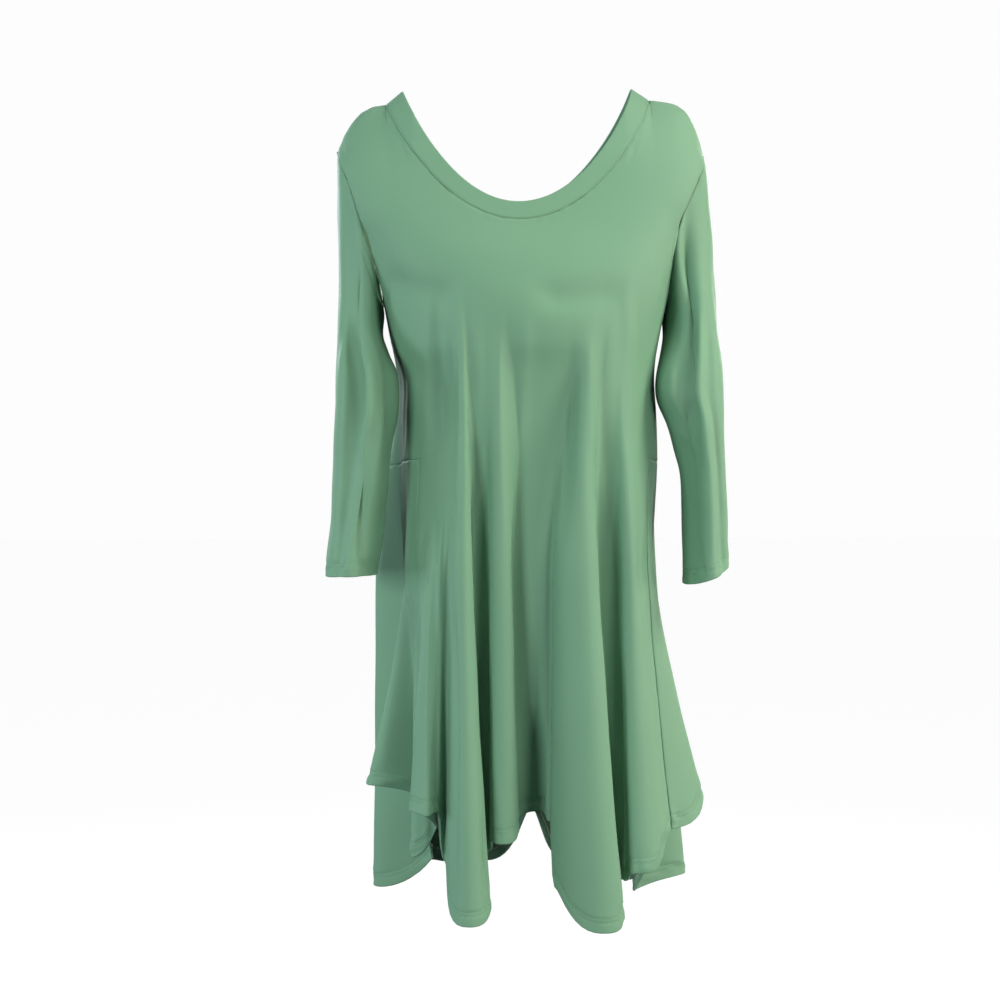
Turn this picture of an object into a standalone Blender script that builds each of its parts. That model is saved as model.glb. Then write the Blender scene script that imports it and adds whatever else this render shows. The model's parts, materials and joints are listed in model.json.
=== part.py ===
"""A jersey tunic top: scoop neck, three-quarter sleeves, flared skirt in deep tubular folds.

Metres, +Z up. The front faces -Y, and +X is to the viewer's right. The origin is where
the shoulders of a wearer would carry it: on the centre line, at shoulder height.
Each cut piece is one closed wall of cloth, a hair apart from the piece that it is sewn to.
"""
import math
from collections import namedtuple

import bmesh
import bpy
from mathutils import Vector

MM = 0.001

# ---- driving sizes, in millimetres -------------------------------------------------
WALL = 1.6              # cloth wall
SEAM_GAP = 0.4          # between two pieces at a seam
UNDERARM_Z = -230.0     # where the armholes end
HIP_Z = -394.0          # hip seams that carry the side panels
HIP_TILT = 6.0          # the front hip seam is this much higher than at the side, the back lower
ROUNDNESS = 2.3         # 2 is an ellipse, more is squarer
SHOULDER_ROLL = 95.0    # height over which front and back curve into the shoulder seam
SHOULDER_SQUARE = (2.8, 4.6)    # how suddenly each shoulder falls at its end
SHOULDER_SLOPE = 0.1    # share of the fall that is spread evenly along the shoulder
FLARE = 0.3             # how much a fold bends outwards on its way to the hem
HEM_HOLD = 1.6          # how long the hem keeps its level round the broader fold
# after these fold lines the hem keeps their own height (above 0) or the next one's (below 0)
HEM_HOLDS = {"side_seam_left": -4.0, "seam_right": 3.0}
MID_Z = -512.0          # height at which the table of folds gives each fold's middle
FOLD_ENTRY = 60.0       # least height in which a fold leaves the plain body
FOLD_BREADTH = 0.42     # most of the way to the next fold line that a crest stays broad

NECK_SEAM_Z = -141.0    # lowest point of the front neckband seam
NECK_SEAM_X = -12.0     # the neck hangs this far to one side
BACK_NECK_Z = -120.0    # lowest point of the back neckband seam
NECK_CURVE = 1.2        # fullness of the scoop near the shoulders, 2 is an ellipse
BAND_WIDTH = 19.0       # neckband at the centre
SHOULDER_TURN = 12.0    # length of shoulder over which its direction is taken
NECK_POINTS = ((-151.5, -3.0), (137.0, 6.0))   # shoulder ends of the neckband seam, x and z
BAND_POINTS = ((-134.0, 12.0), (118.5, 18.0))  # shoulder ends of the neck edge, x and z
SHOULDER_TIPS = ((-204.0, -53.0), (198.5, -53.0))   # top of each armhole, x and z
PULL = 0.35             # share of the yoke's width that follows each armhole's curve

# ---- how finely the cloth is cut into facets ---------------------------------------
STEPS = {"front": 4, "back": 3}    # facets from one fold line to the next
YOKE_ROWS = 8           # rows from underarm to shoulder
WAIST_ROWS = 4          # rows from underarm to hip
SKIRT_ROWS = 9          # rows from hip to hem
SLEEVE_SIDES = YOKE_ROWS   # facets down half an armhole
SLEEVE_HEAD_ROWS = 4    # from the armhole to the first section
SLEEVE_ROWS = 9         # from there to the cuff
BAND_ROWS = 2
GRID_STEP = 0.02        # part of a fold or a row over which a surface's direction is taken
TURN_STEP = 1.5         # the same in degrees round a sleeve
BAND_STEP = 0.004       # and as a share of the neckband's half
SEAT_DEPTH = 0.5        # how far into the body, in fold lines, its slope at a seam is taken
SHARPEST_MITER = -0.4   # cosine of the sharpest corner whose seam gap is kept to size

# Horizontal sections of the body without its folds.
Section = namedtuple("Section", "z half_width front back shift")
BODY = [
    Section(20, 190, 52, 50, -8),
    Section(-60, 188, 68, 66, -5),
    Section(-141, 178, 92, 84, -2),
    Section(-185, 164, 112, 92, 0),
    Section(-230, 152.5, 123, 98, 0.5),
    Section(-265, 146, 122, 94, 0),
    Section(-300, 138.5, 112, 88, 4),
    Section(-340, 139.5, 106, 86, 5.5),
    Section(-394, 140, 110, 96, 6),
    Section(-512, 142, 116, 112, 4),
    Section(-640, 150, 118, 118, 4),
    Section(-880, 160, 120, 124, 4),
]

# Armhole edge: the same curve bounds the body and starts the sleeve.
Armhole = namedtuple("Armhole", "z left right front back")
ARMHOLE = [
    Armhole(-53, -204, 198.5, 0, 0),
    Armhole(-70, -201, 195, 26, 26),
    Armhole(-98, -190, 182, 43, 42),
    Armhole(-125, -182, 170, 53, 50),
    Armhole(-150, -173, 161, 54, 50),
    Armhole(-180, -162, 158, 45, 44),
    Armhole(-205, -156, 156, 31, 31),
    Armhole(-222, -153, 154, 17, 17),
    Armhole(-230, -152, 153, 0, 0),
]

# Fold lines, once round the skirt. `angle` is the place on the body, 0 at the centre front
# and 90 at the viewer's right; the fold leaves the body at `start`, passes mid_x, mid_y
# and ends at the hem. `bow` is how far the crest or trough stays broad to each side at the
# hem (`mid_bow` at its middle), and `turn` is the compass heading of the cloth there.
Fold = namedtuple("Fold", "name angle start mid_x mid_y hem_x hem_y hem_z mid_bow bow turn")
FOLDS = [
    Fold("side_seam_left", -90, -400, -131, 4, -102, 2, -828, 16, 8, -90),
    Fold("side_front_crest_left", -76, -380, -128, -36, -171, -40, -738, 13, 18, -90),
    Fold("side_front_trough_left", -70, -500, -124, -48, -106, -49, -752, 6, 5, -90),
    Fold("side_front_point_left", -65, -500, -120, -58, -124, -64, -811, 6, 9, -90),
    Fold("seam_left", -58, -420, -116, -68, -98, -79, -777, 8, 5, -80),
    Fold("edge_left", -52, -470, -110, -86, -126, -96, -756, 10, 9, -72),
    Fold("crease_left", -44, -450, -101, -103, -108, -113, -759, 8, 6, -12),
    Fold("roll_left", -39, -430, -93, -107, -97, -105, -757, 9, 6, 16),
    Fold("trough_1", -33, -400, -87, -107, -89, -86, -812, 5, 4, 0),
    Fold("flute_1", -26, -240, -71, -129, -65, -143, -866, 16, 26, 0),
    Fold("flute_1_edge", -23, -250, -61, -115, -43, -124, -850, 7, 10, 108),
    Fold("trough_2", -20, -240, -57, -96, -48.5, -80, -806, 6, 3, 0),
    Fold("flute_2_left", -15, -250, -43, -107, -42.5, -107, -786, 7, 7, -88),
    Fold("flute_2", -10.5, -250, -31, -119, -29, -117, -788, 8, 9, 0),
    Fold("flute_2_edge", -7, -290, -21, -110, -12, -104, -777, 6, 8, 104),
    Fold("trough_3", -4, -320, -17, -97, -12, -78, -768, 6, 5, 0),
    Fold("recess", 3, -320, 5, -100, 10, -80, -763, 10, 12, 0),
    Fold("trough_4", 8, -320, 19, -103, 20, -87, -771, 8, 6, 0),
    Fold("flute_3_side", 12, -310, 27, -121, 23, -119, -832, 9, 15, -55),
    Fold("flute_3", 22, -250, 55, -136, 74, -148, -873, 13, 20, 5),
    Fold("flute_3_edge", 28, -260, 68, -121, 93.5, -131, -861, 8, 10, 112),
    Fold("trough_5", 32, -250, 73, -98, 88.5, -82, -840, 6, 3, 0),
    Fold("flute_4_left", 39, -250, 94, -107, 95.5, -113, -828, 8, 7, -88),
    Fold("flute_4", 45, -250, 104, -116, 113, -124, -818, 12, 20, 0),
    Fold("seam_right", 60, -400, 126, -80, 149, -92, -779, 14, 18, 40),
    Fold("side_front_crest_right", 76, -380, 137, -38, 190, -45, -751, 12, 22, 90),
    Fold("side_seam_right", 90, -400, 140, 4, 124, 3, -866, 12, 8, 90),
    Fold("side_back_crest_right", 112, -330, 152, 44, 186, 42, -855, 16, 20, 90),
    Fold("back_seam_right", 130, -380, 118, 84, 128, 84, -872, 12, 12, 140),
    Fold("back_flute_1", 140, -260, 102, 118, 110, 138, -868, 14, 20, 170),
    Fold("back_trough_1", 150, -260, 78, 106, 88, 98, -842, 10, 7, 180),
    Fold("back_flute_2", 161, -260, 50, 125, 62, 146, -858, 14, 20, 180),
    Fold("back_trough_2", 177, -280, 6, 106, 15, 100, -790, 13, 13, 180),
    Fold("back_flute_3", -166, -260, -36, 126, -44, 148, -862, 15, 22, -180),
    Fold("back_trough_3", -154, -260, -68, 103, -76, 96, -850, 12, 8, -180),
    Fold("back_flute_4", -142, -260, -98, 119, -106, 138, -858, 15, 20, -170),
    Fold("back_seam_left", -128, -380, -122, 86, -122, 90, -862, 12, 12, -140),
    Fold("side_back_crest_left", -112, -250, -163, 46, -166, 46, -866, 18, 22, -90),
]
FOLD_AT = {fold.name: index for index, fold in enumerate(FOLDS)}

# Horizontal sections of a sleeve: its outer and inner side, front and back.
SleeveRing = namedtuple("SleeveRing", "z outer inner front back")
SLEEVE_LEFT = [
    SleeveRing(-262, -203.5, -153, -68, 32),
    SleeveRing(-280, -204, -147, -79, 24),
    SleeveRing(-300, -204.5, -139, -90, 17),
    SleeveRing(-335, -205, -137, -97, 11),
    SleeveRing(-375, -206.5, -144, -97, 8),
    SleeveRing(-430, -208, -150, -96, 6),
    SleeveRing(-480, -211.5, -155, -96, 6),
    SleeveRing(-514, -214.5, -160, -96, 6),
]
SLEEVE_RIGHT = [
    SleeveRing(-262, 211, 151, -72, 28),
    SleeveRing(-300, 211.5, 141, -94, 12),
    SleeveRing(-325, 211, 141, -100, 5),
    SleeveRing(-352, 211, 152, -100, 5),
    SleeveRing(-380, 212, 160, -98, 5),
    SleeveRing(-404, 212.5, 167, -97, 5),
    SleeveRing(-440, 214, 168.5, -97, 5),
    SleeveRing(-514, 217, 170, -97, 5),
]
SLEEVE_LEAN = {"left": 0.0, "right": 0.15}    # how far each sleeve head stands out
CREASE_END = 60.0       # length over which a sleeve's trough fades in and out
CREASE_LEFT = 0.35      # how far a trough is still open at its lower end
DRIFT_STEP = 10.0       # height over which the direction of a line down the cloth is taken
CUFF_Z = {"left": (-515.0, -513.0), "right": (-498.0, -524.0)}   # outer and inner side

# Long troughs pressed into a sleeve: angle round the sleeve from the outer side (90 is
# the front, 180 the inner side), its half width in degrees and its greatest depth.
SleeveFold = namedtuple("SleeveFold", "angle spread depth top bottom")
SLEEVE_FOLDS = [
    SleeveFold(62, 16, 9, -215, -520),
    SleeveFold(118, 15, 6, -250, -400),
    SleeveFold(292, 18, 8, -240, -520),
]

GREEN = (0.115, 0.285, 0.165)
BAND_GREEN = (0.105, 0.27, 0.155)


# ---- small numeric tools -----------------------------------------------------------
def clamp01(value):
    return min(1.0, max(0.0, value))


def mix(a, b, t):
    return a + (b - a) * t


def smooth(t):
    t = clamp01(t)
    return t * t * (3.0 - 2.0 * t)


def hermite(p0, p1, m0, m1, t):
    t2, t3 = t * t, t * t * t
    return ((2 * t3 - 3 * t2 + 1) * p0 + (t3 - 2 * t2 + t) * m0
            + (3 * t2 - 2 * t3) * p1 + (t3 - t2) * m1)


def read(rows, z, column):
    """A smooth reading of one column of a table whose rows run down the garment."""
    if z >= rows[0].z:
        return getattr(rows[0], column)
    if z <= rows[-1].z:
        return getattr(rows[-1], column)
    k = next(i for i in range(len(rows) - 1) if rows[i + 1].z <= z)

    def slope(i):
        above, below = rows[max(i - 1, 0)], rows[min(i + 1, len(rows) - 1)]
        return (getattr(below, column) - getattr(above, column)) / (below.z - above.z)

    span = rows[k + 1].z - rows[k].z
    return hermite(getattr(rows[k], column), getattr(rows[k + 1], column),
                   slope(k) * span, slope(k + 1) * span, (z - rows[k].z) / span)


# ---- the body without folds --------------------------------------------------------
def base_point(angle, z):
    """A point of the plain body section at height z."""
    a = math.radians(angle)
    power = 2.0 / ROUNDNESS
    width = read(BODY, z, "half_width")
    depth = read(BODY, z, "front" if math.cos(a) > 0 else "back")
    x = math.copysign(abs(math.sin(a)) ** power, math.sin(a)) * width
    y = -math.copysign(abs(math.cos(a)) ** power, math.cos(a)) * depth
    return Vector((x + read(BODY, z, "shift"), y))


def base_heading(angle, z):
    """Compass heading of the plain section there, near `angle` itself."""
    ahead = base_point(angle + 2.0, z) - base_point(angle - 2.0, z)
    heading = math.degrees(math.atan2(ahead.y, ahead.x))
    return heading + 360.0 * round((angle - heading) / 360.0)


# ---- the skirt and its folds -------------------------------------------------------
def fold_point(fold, z):
    """Where a fold line passes at height z."""
    if z >= fold.start:
        return base_point(fold.angle, z)
    hem = Vector((fold.hem_x, fold.hem_y))
    mid_z = min(MID_Z, fold.start - FOLD_ENTRY)
    mid = Vector((fold.mid_x, fold.mid_y))
    run = (hem - mid) * (1.0 - FLARE) / (fold.hem_z - mid_z)
    if z <= mid_z:
        share = (z - mid_z) / (fold.hem_z - mid_z)
        return mid.lerp(hem, share * (1.0 - FLARE) + share * share * FLARE)
    origin = base_point(fold.angle, fold.start)
    drift = (base_point(fold.angle, fold.start + DRIFT_STEP) - origin) / DRIFT_STEP
    span = mid_z - fold.start
    return hermite(origin, mid, drift * span, run * span, (z - fold.start) / span)


def fold_handles(index, z):
    """Tangent of the ring at a fold line, and its handle length to either side."""
    fold = FOLDS[index]
    before, after = FOLDS[index - 1], FOLDS[(index + 1) % len(FOLDS)]
    here = fold_point(fold, z)
    reach_before = (base_point(fold.angle, z) - base_point(before.angle, z)).length / 3.0
    reach_after = (base_point(after.angle, z) - base_point(fold.angle, z)).length / 3.0
    below_mid = smooth((MID_Z - z) / (MID_Z - fold.hem_z))
    to_mid = smooth((fold.start - z) / max(FOLD_ENTRY, fold.start - MID_Z))
    bow = mix(fold.mid_bow, fold.bow, below_mid)
    heading = mix(base_heading(fold.angle, z), fold.turn, to_mid)
    tangent = Vector((math.cos(math.radians(heading)), math.sin(math.radians(heading))))
    return here, tangent, mix(reach_before, bow, to_mid), mix(reach_after, bow, to_mid)


def hip_height(angle):
    return HIP_Z + HIP_TILT * math.cos(math.radians(angle))


def column_height(index, share, row):
    """Height of a row of the skirt grid: 0 at the underarm, 1 at the hip, 2 at the hem."""
    fold, following = FOLDS[index], FOLDS[(index + 1) % len(FOLDS)]
    hold = HEM_HOLDS.get(fold.name, HEM_HOLD if fold.bow > following.bow else -HEM_HOLD)
    if hold > 0.0:
        eased = smooth(share ** hold)
    else:
        eased = 1.0 - smooth((1.0 - share) ** -hold)
    hip = mix(hip_height(fold.angle), hip_height(following.angle), eased)
    if row <= 1.0:
        return mix(UNDERARM_Z, hip, row)
    return mix(hip, mix(fold.hem_z, following.hem_z, eased), row - 1.0)


def ring_point(place, row):
    """A point of the body below the arms. `place` counts fold lines round the ring."""
    place %= len(FOLDS)
    index = int(place)
    share = place - index
    z = column_height(index, share, row)
    p0, t0, _, reach0 = fold_handles(index, z)
    p3, t3, reach3, _ = fold_handles((index + 1) % len(FOLDS), z)
    most = (p3 - p0).length * FOLD_BREADTH
    p1 = p0 + t0 * min(reach0, most)
    p2 = p3 - t3 * min(reach3, most)
    rest = 1.0 - share
    xy = (p0 * rest ** 3 + p1 * (3 * rest * rest * share)
          + p2 * (3 * rest * share * share) + p3 * share ** 3)
    return Vector((xy.x, xy.y, z))


def ring_normal(place, row):
    above, below = max(0.0, row - GRID_STEP), min(2.0, row + GRID_STEP)
    across = ring_point(place + GRID_STEP, row) - ring_point(place - GRID_STEP, row)
    return (ring_point(place, below) - ring_point(place, above)).cross(across).normalized()


# ---- the yoke: from underarm to shoulder and neck ----------------------------------
# The columns of each half, in ring order: side seam, first neck point, second neck point,
# side seam. The back runs from the right side to the left one.
YokeSpan = namedtuple("YokeSpan", "start neck_a neck_b end first second")
YOKE_SPANS = {
    "front": YokeSpan(0, FOLD_AT["seam_left"], FOLD_AT["seam_right"],
                      FOLD_AT["side_seam_right"], 0, 1),
    "back": YokeSpan(FOLD_AT["side_seam_right"], FOLD_AT["back_seam_right"],
                     FOLD_AT["back_seam_left"], len(FOLDS), 1, 0),
}
SIDES = ("left", "right")


def armhole_edge(side, half, rise):
    """A point of an armhole edge. rise is 0 at the underarm, 1 at the shoulder tip."""
    z = mix(UNDERARM_Z, ARMHOLE[0].z, (1.0 - math.cos(math.pi * rise)) / 2.0)
    y = read(ARMHOLE, z, half) * (-1.0 if half == "front" else 1.0)
    return Vector((read(ARMHOLE, z, side), y, z))


def neck_line(share, points, low):
    """The scoop in front view, from the left shoulder (0) to the right one (1)."""
    side_x, side_z = points[0 if share < 0.5 else 1]
    angle = math.pi * (share - 0.5)
    x = NECK_SEAM_X + (side_x - NECK_SEAM_X) * abs(math.sin(angle))
    return Vector((x, side_z + (low - side_z) * abs(math.cos(angle)) ** (2.0 / NECK_CURVE)))


def shoulder_line(x):
    """Height of the shoulder ridge over x; the shoulders fall away at their ends."""
    side = 0 if x < NECK_SEAM_X else 1
    (band_x, band_z), (neck_x, neck_z) = BAND_POINTS[side], NECK_POINTS[side]
    tip_x, tip_z = SHOULDER_TIPS[side]
    if abs(x) <= abs(neck_x):
        slope = (neck_z - band_z) / abs(neck_x - band_x)
        return band_z + slope * max(-SHOULDER_TURN, abs(x) - abs(band_x))
    along = clamp01((abs(x) - abs(neck_x)) / (abs(tip_x) - abs(neck_x)))
    return mix(neck_z, tip_z, mix(along ** SHOULDER_SQUARE[side], along, SHOULDER_SLOPE))


def shoulder_normal(x):
    rise = shoulder_line(x + SHOULDER_TURN / 2.0) - shoulder_line(x - SHOULDER_TURN / 2.0)
    return Vector((-rise, 0.0, SHOULDER_TURN)).normalized()


def torso_depth(x, z, half):
    """How far the body stands before (or behind) the shoulder line at x and z."""
    level = max(UNDERARM_Z, min(z, ARMHOLE[0].z))
    rim = read(ARMHOLE, level, half)
    centre = read(BODY, z, "shift")
    reach = abs(read(ARMHOLE, level, "left" if x < centre else "right") - centre)
    across = clamp01(abs(x - centre) / reach)
    bulge = (1.0 - across ** ROUNDNESS) ** (1.0 / ROUNDNESS)
    below = clamp01((shoulder_line(x) - z) / SHOULDER_ROLL)
    roll = math.sqrt(1.0 - (1.0 - below) ** 2)
    return rim + (read(BODY, z, half) - rim) * bulge * roll


def yoke_edge(half, place):
    """Where a column of the yoke meets the shoulder or neck seam (x, z)."""
    span = YOKE_SPANS[half]
    if place <= span.neck_a:
        share = (place - span.start) / (span.neck_a - span.start)
        x = mix(SHOULDER_TIPS[span.first][0], NECK_POINTS[span.first][0], share)
        return Vector((x, shoulder_line(x)))
    if place >= span.neck_b:
        share = (place - span.neck_b) / (span.end - span.neck_b)
        x = mix(NECK_POINTS[span.second][0], SHOULDER_TIPS[span.second][0], share)
        return Vector((x, shoulder_line(x)))
    share = (place - span.neck_a) / (span.neck_b - span.neck_a)
    if half == "back":
        return neck_line(1.0 - share, NECK_POINTS, BACK_NECK_Z)
    return neck_line(share, NECK_POINTS, NECK_SEAM_Z)


def on_torso(x, z, half):
    y = torso_depth(x, z, half)
    return Vector((x, -y if half == "front" else y, z))


def yoke_point(half, place, rise):
    """A point of the yoke; rise is 0 at the underarm and 1 at the shoulder or neck."""
    span = YOKE_SPANS[half]
    foot = ring_point(place, 0.0)
    top = yoke_edge(half, place)
    share = (1.0 - math.cos(math.pi * rise)) / 2.0
    x = mix(foot.x, top.x, share)
    z = mix(foot.z, top.y, share)
    width = (span.end - span.start) * PULL
    for side, distance in ((span.first, place - span.start), (span.second, span.end - place)):
        pull = clamp01(1.0 - distance / width) ** 2
        edge = armhole_edge(SIDES[side], half, rise)
        straight_x = mix(armhole_edge(SIDES[side], half, 0.0).x, SHOULDER_TIPS[side][0], share)
        x += (edge.x - straight_x) * pull
    return on_torso(x, z, half)


# ---- the whole body as one surface -------------------------------------------------
def body_point(half, place, row):
    """Rows run from -1 at the shoulder through 0 (underarm) and 1 (hip) to 2 (hem)."""
    return yoke_point(half, place, -row) if row < 0.0 else ring_point(place, row)


def body_normal(half, place, row):
    span = YOKE_SPANS[half]
    on_shoulder = place <= span.neck_a or place >= span.neck_b
    if row >= 0.0:
        return ring_normal(place, row)
    if row <= -1.0 and on_shoulder:
        return shoulder_normal(yoke_edge(half, place).x)
    if row <= -1.0:
        share = (place - span.neck_a) / (span.neck_b - span.neck_a)
        return band_normal(half, share if half == "front" else 1.0 - share, 0.0)
    before, after = max(span.start, place - GRID_STEP), min(span.end, place + GRID_STEP)
    above, below = max(-1.0, row - GRID_STEP), min(0.0, row + GRID_STEP)
    across = yoke_point(half, after, -row) - yoke_point(half, before, -row)
    down = yoke_point(half, place, -below) - yoke_point(half, place, -above)
    return down.cross(across).normalized()


# ---- sleeves -----------------------------------------------------------------------
def sleeve_ring(side, angle, z):
    """A horizontal section: angle 0 is the outer side, 90 the front, 180 the inner side."""
    rows = SLEEVE_LEFT if side == "left" else SLEEVE_RIGHT
    outer, inner = read(rows, z, "outer"), read(rows, z, "inner")
    front, back = read(rows, z, "front"), read(rows, z, "back")
    a = math.radians(angle)
    x = (outer + inner) / 2.0 + (outer - inner) / 2.0 * math.cos(a)
    y = (front + back) / 2.0 + (front - back) / 2.0 * math.sin(a)
    return Vector((x, y, z))


def sleeve_crease(point, centre, angle):
    """Presses the long troughs of a sleeve towards its middle."""
    depth = 0.0
    for fold in SLEEVE_FOLDS:
        off = (angle - fold.angle + 180.0) % 360.0 - 180.0
        ends = (smooth((fold.top - point.z) / CREASE_END)
                * smooth((point.z - fold.bottom) / CREASE_END + CREASE_LEFT))
        depth += fold.depth * math.exp(-(off / fold.spread) ** 2) * ends
    inward = Vector((centre.x - point.x, centre.y - point.y, 0.0)).normalized()
    return point + inward * depth


def sleeve_point(side, angle, row):
    """Rows run from 0 at the armhole to 1 at the first section and 2 at the cuff."""
    angle %= 360.0
    rows = SLEEVE_LEFT if side == "left" else SLEEVE_RIGHT
    half = "front" if angle <= 180.0 else "back"
    rise = 1.0 - angle / 180.0 if half == "front" else angle / 180.0 - 1.0
    inner_share = (1.0 - math.cos(math.radians(angle))) / 2.0
    first_z = rows[0].z
    if row <= 1.0:
        start = armhole_edge(side, half, rise) + seat_shift(side, half, angle, rise)
        end = sleeve_ring(side, angle, first_z)
        reach = (end - start).length
        fall = (sleeve_ring(side, angle, first_z - DRIFT_STEP) - end).normalized() * reach
        leave = Vector((SLEEVE_LEAN[side] * reach * (1.0 - inner_share), 0.0, -reach))
        point = hermite(start, end, leave, fall, row)
        centre = Vector(((rows[0].outer + rows[0].inner) / 2.0,
                         (rows[0].front + rows[0].back) / 2.0, point.z))
    else:
        outer_z, inner_z = CUFF_Z[side]
        z = mix(first_z, mix(outer_z, inner_z, math.sqrt(inner_share)), row - 1.0)
        point = sleeve_ring(side, angle, z)
        centre = (point + sleeve_ring(side, angle + 180.0, z)) / 2.0
    return sleeve_crease(point, centre, angle)


def seat_shift(side, half, angle, rise):
    """Sets the sleeve's edge off the armhole: out along the body on top, beside it below."""
    span = YOKE_SPANS[half]
    at_start = SIDES[span.first] == side
    place = span.start if at_start else span.end
    inside = place + (SEAT_DEPTH if at_start else -SEAT_DEPTH)
    edge = armhole_edge(side, half, rise)
    above, below = min(1.0, rise + GRID_STEP), max(0.0, rise - GRID_STEP)
    along = (armhole_edge(side, half, above) - armhole_edge(side, half, below)).normalized()
    off = edge - body_point(half, inside, -rise)
    off = (off - along * off.dot(along)).normalized()
    body_out = body_normal(half, place, -rise)
    outward = -1.0 if side == "left" else 1.0
    a = math.radians(angle)
    sleeve_out = Vector((outward * math.cos(a), -math.sin(a), 0.0))
    agree = body_out.dot(sleeve_out)
    away = (off * (1.0 + agree) + body_out * (1.0 - agree)).normalized()
    return away * (SEAM_GAP + WALL * 0.5 * (1.0 - agree))


def sleeve_normal(side, angle, row):
    above, below = max(0.0, row - GRID_STEP), min(2.0, row + GRID_STEP)
    across = sleeve_point(side, angle + TURN_STEP, row) - sleeve_point(side, angle - TURN_STEP, row)
    down = sleeve_point(side, angle, below) - sleeve_point(side, angle, above)
    normal = down.cross(across).normalized()
    return normal if side == "left" else -normal


# ---- neckband ----------------------------------------------------------------------
def band_point(half, share, height):
    """share runs from the left shoulder to the right one, height from seam to neck edge."""
    low = NECK_SEAM_Z if half == "front" else BACK_NECK_Z
    seam = neck_line(share, NECK_POINTS, low)
    edge = neck_line(share, BAND_POINTS, low + BAND_WIDTH)
    flat = seam.lerp(edge, height)
    return on_torso(flat.x, flat.y, half)


def band_normal(half, share, height):
    if share in (0.0, 1.0):
        return shoulder_normal(band_point(half, share, height).x)
    before, after = share - BAND_STEP, share + BAND_STEP
    across = band_point(half, after, height) - band_point(half, before, height)
    down = band_point(half, share, height - GRID_STEP) - band_point(half, share, height + GRID_STEP)
    normal = down.cross(across).normalized()
    return normal if half == "front" else -normal


# ---- walls of cloth ----------------------------------------------------------------
def inward(points, cell, a, b):
    """Unit direction in the cloth, square to the edge a-b, into its cell."""
    edge = (points[b] - points[a]).normalized()
    middle = sum((points[key] for key in cell), Vector()) / len(cell)
    off = middle - points[a]
    return (off - edge * off.dot(edge)).normalized()


def cloth_solid(name, points, normals, cells, colour, home):
    """A closed wall round a surface, drawn in by half a seam gap along its edges."""
    owner = {}
    for cell in cells:
        for a, b in zip(cell, cell[1:] + cell[:1]):
            owner[(a, b)] = cell
    rim = [(a, b) for (a, b) in owner if (b, a) not in owner]
    pulls = {}
    for a, b in rim:
        direction = inward(points, owner[(a, b)], a, b)
        pulls.setdefault(a, []).append(direction)
        pulls.setdefault(b, []).append(direction)
    for key, (one, other) in pulls.items():
        miter = (one + other) / (1.0 + max(SHARPEST_MITER, one.dot(other)))
        points[key] = points[key] + miter * (SEAM_GAP / 2.0)

    keys = sorted(points)
    mesh = bmesh.new()
    outer = {k: mesh.verts.new((points[k] + normals[k] * WALL / 2.0 - home) * MM) for k in keys}
    inner = {k: mesh.verts.new((points[k] - normals[k] * WALL / 2.0 - home) * MM) for k in keys}
    for cell in cells:
        mesh.faces.new([outer[key] for key in cell])
        mesh.faces.new([inner[key] for key in reversed(cell)])
    for a, b in rim:
        mesh.faces.new((outer[b], outer[a], inner[a], inner[b]))
    return place_object(name, mesh, colour, home)


def place_object(name, mesh, colour, home):
    data = bpy.data.meshes.new(name)
    mesh.to_mesh(data)
    mesh.free()
    data.shade_smooth()
    data.materials.append(jersey(name + "_jersey", colour))
    piece = bpy.data.objects.new(name, data)
    piece.location = home * MM
    bpy.context.collection.objects.link(piece)
    return piece


def jersey(name, colour):
    material = bpy.data.materials.new(name)
    material.use_nodes = True
    shader = material.node_tree.nodes["Principled BSDF"]
    shader.inputs["Base Color"].default_value = (*colour, 1.0)
    shader.inputs["Roughness"].default_value = 0.85
    return material


def spread(start, end, count):
    return [mix(start, end, k / count) for k in range(count + 1)]


def quad(col, row):
    """One cell of a grid keyed (column, row), facing out."""
    return [(col, row), (col, row + 1), (col + 1, row + 1), (col + 1, row)]


# ---- the pieces --------------------------------------------------------------------
def make_body_half(half):
    """Front or back: whole above the hips, only its middle panel below them."""
    span = YOKE_SPANS[half]
    steps = STEPS[half]
    columns = spread(span.start, span.end, (span.end - span.start) * steps)
    rows = (spread(-1.0, 0.0, YOKE_ROWS)[:-1] + spread(0.0, 1.0, WAIST_ROWS)[:-1]
            + spread(1.0, 2.0, SKIRT_ROWS))
    first_skirt_row = YOKE_ROWS + WAIST_ROWS
    left = (span.neck_a - span.start) * steps
    right = (span.neck_b - span.start) * steps
    cells = []
    for col in range(len(columns) - 1):
        for row in range(len(rows) - 1):
            if row < first_skirt_row or left <= col < right:
                cells.append(quad(col, row))
    return make_from_grid(half, half, columns, rows, cells)


def make_from_grid(name, half, columns, rows, cells):
    used = {key for cell in cells for key in cell}
    points = {key: body_point(half, columns[key[0]], rows[key[1]]) for key in used}
    normals = {key: body_normal(half, columns[key[0]], rows[key[1]]) for key in used}
    home = sum(points.values(), Vector()) / len(points)
    home = Vector((round(home.x), round(home.y), round(home.z)))
    return cloth_solid(name, points, normals, cells, GREEN, home)


def make_side_panel(name, half, start, end):
    """A skirt panel from the hip seam to the hem, between two fold lines."""
    columns = spread(start, end, (end - start) * STEPS[half])
    rows = spread(1.0, 2.0, SKIRT_ROWS)
    cells = [quad(c, r) for c in range(len(columns) - 1) for r in range(SKIRT_ROWS)]
    return make_from_grid(name, half, columns, rows, cells)


def make_side_panels():
    seam_l, seam_r = FOLD_AT["seam_left"], FOLD_AT["seam_right"]
    side_r, back_r = FOLD_AT["side_seam_right"], FOLD_AT["back_seam_right"]
    return [
        make_side_panel("side_front_left", "front", 0, seam_l),
        make_side_panel("side_front_right", "front", seam_r, side_r),
        make_side_panel("side_back_right", "back", side_r, back_r),
        make_side_panel("side_back_left", "back", FOLD_AT["back_seam_left"], len(FOLDS)),
    ]


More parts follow.
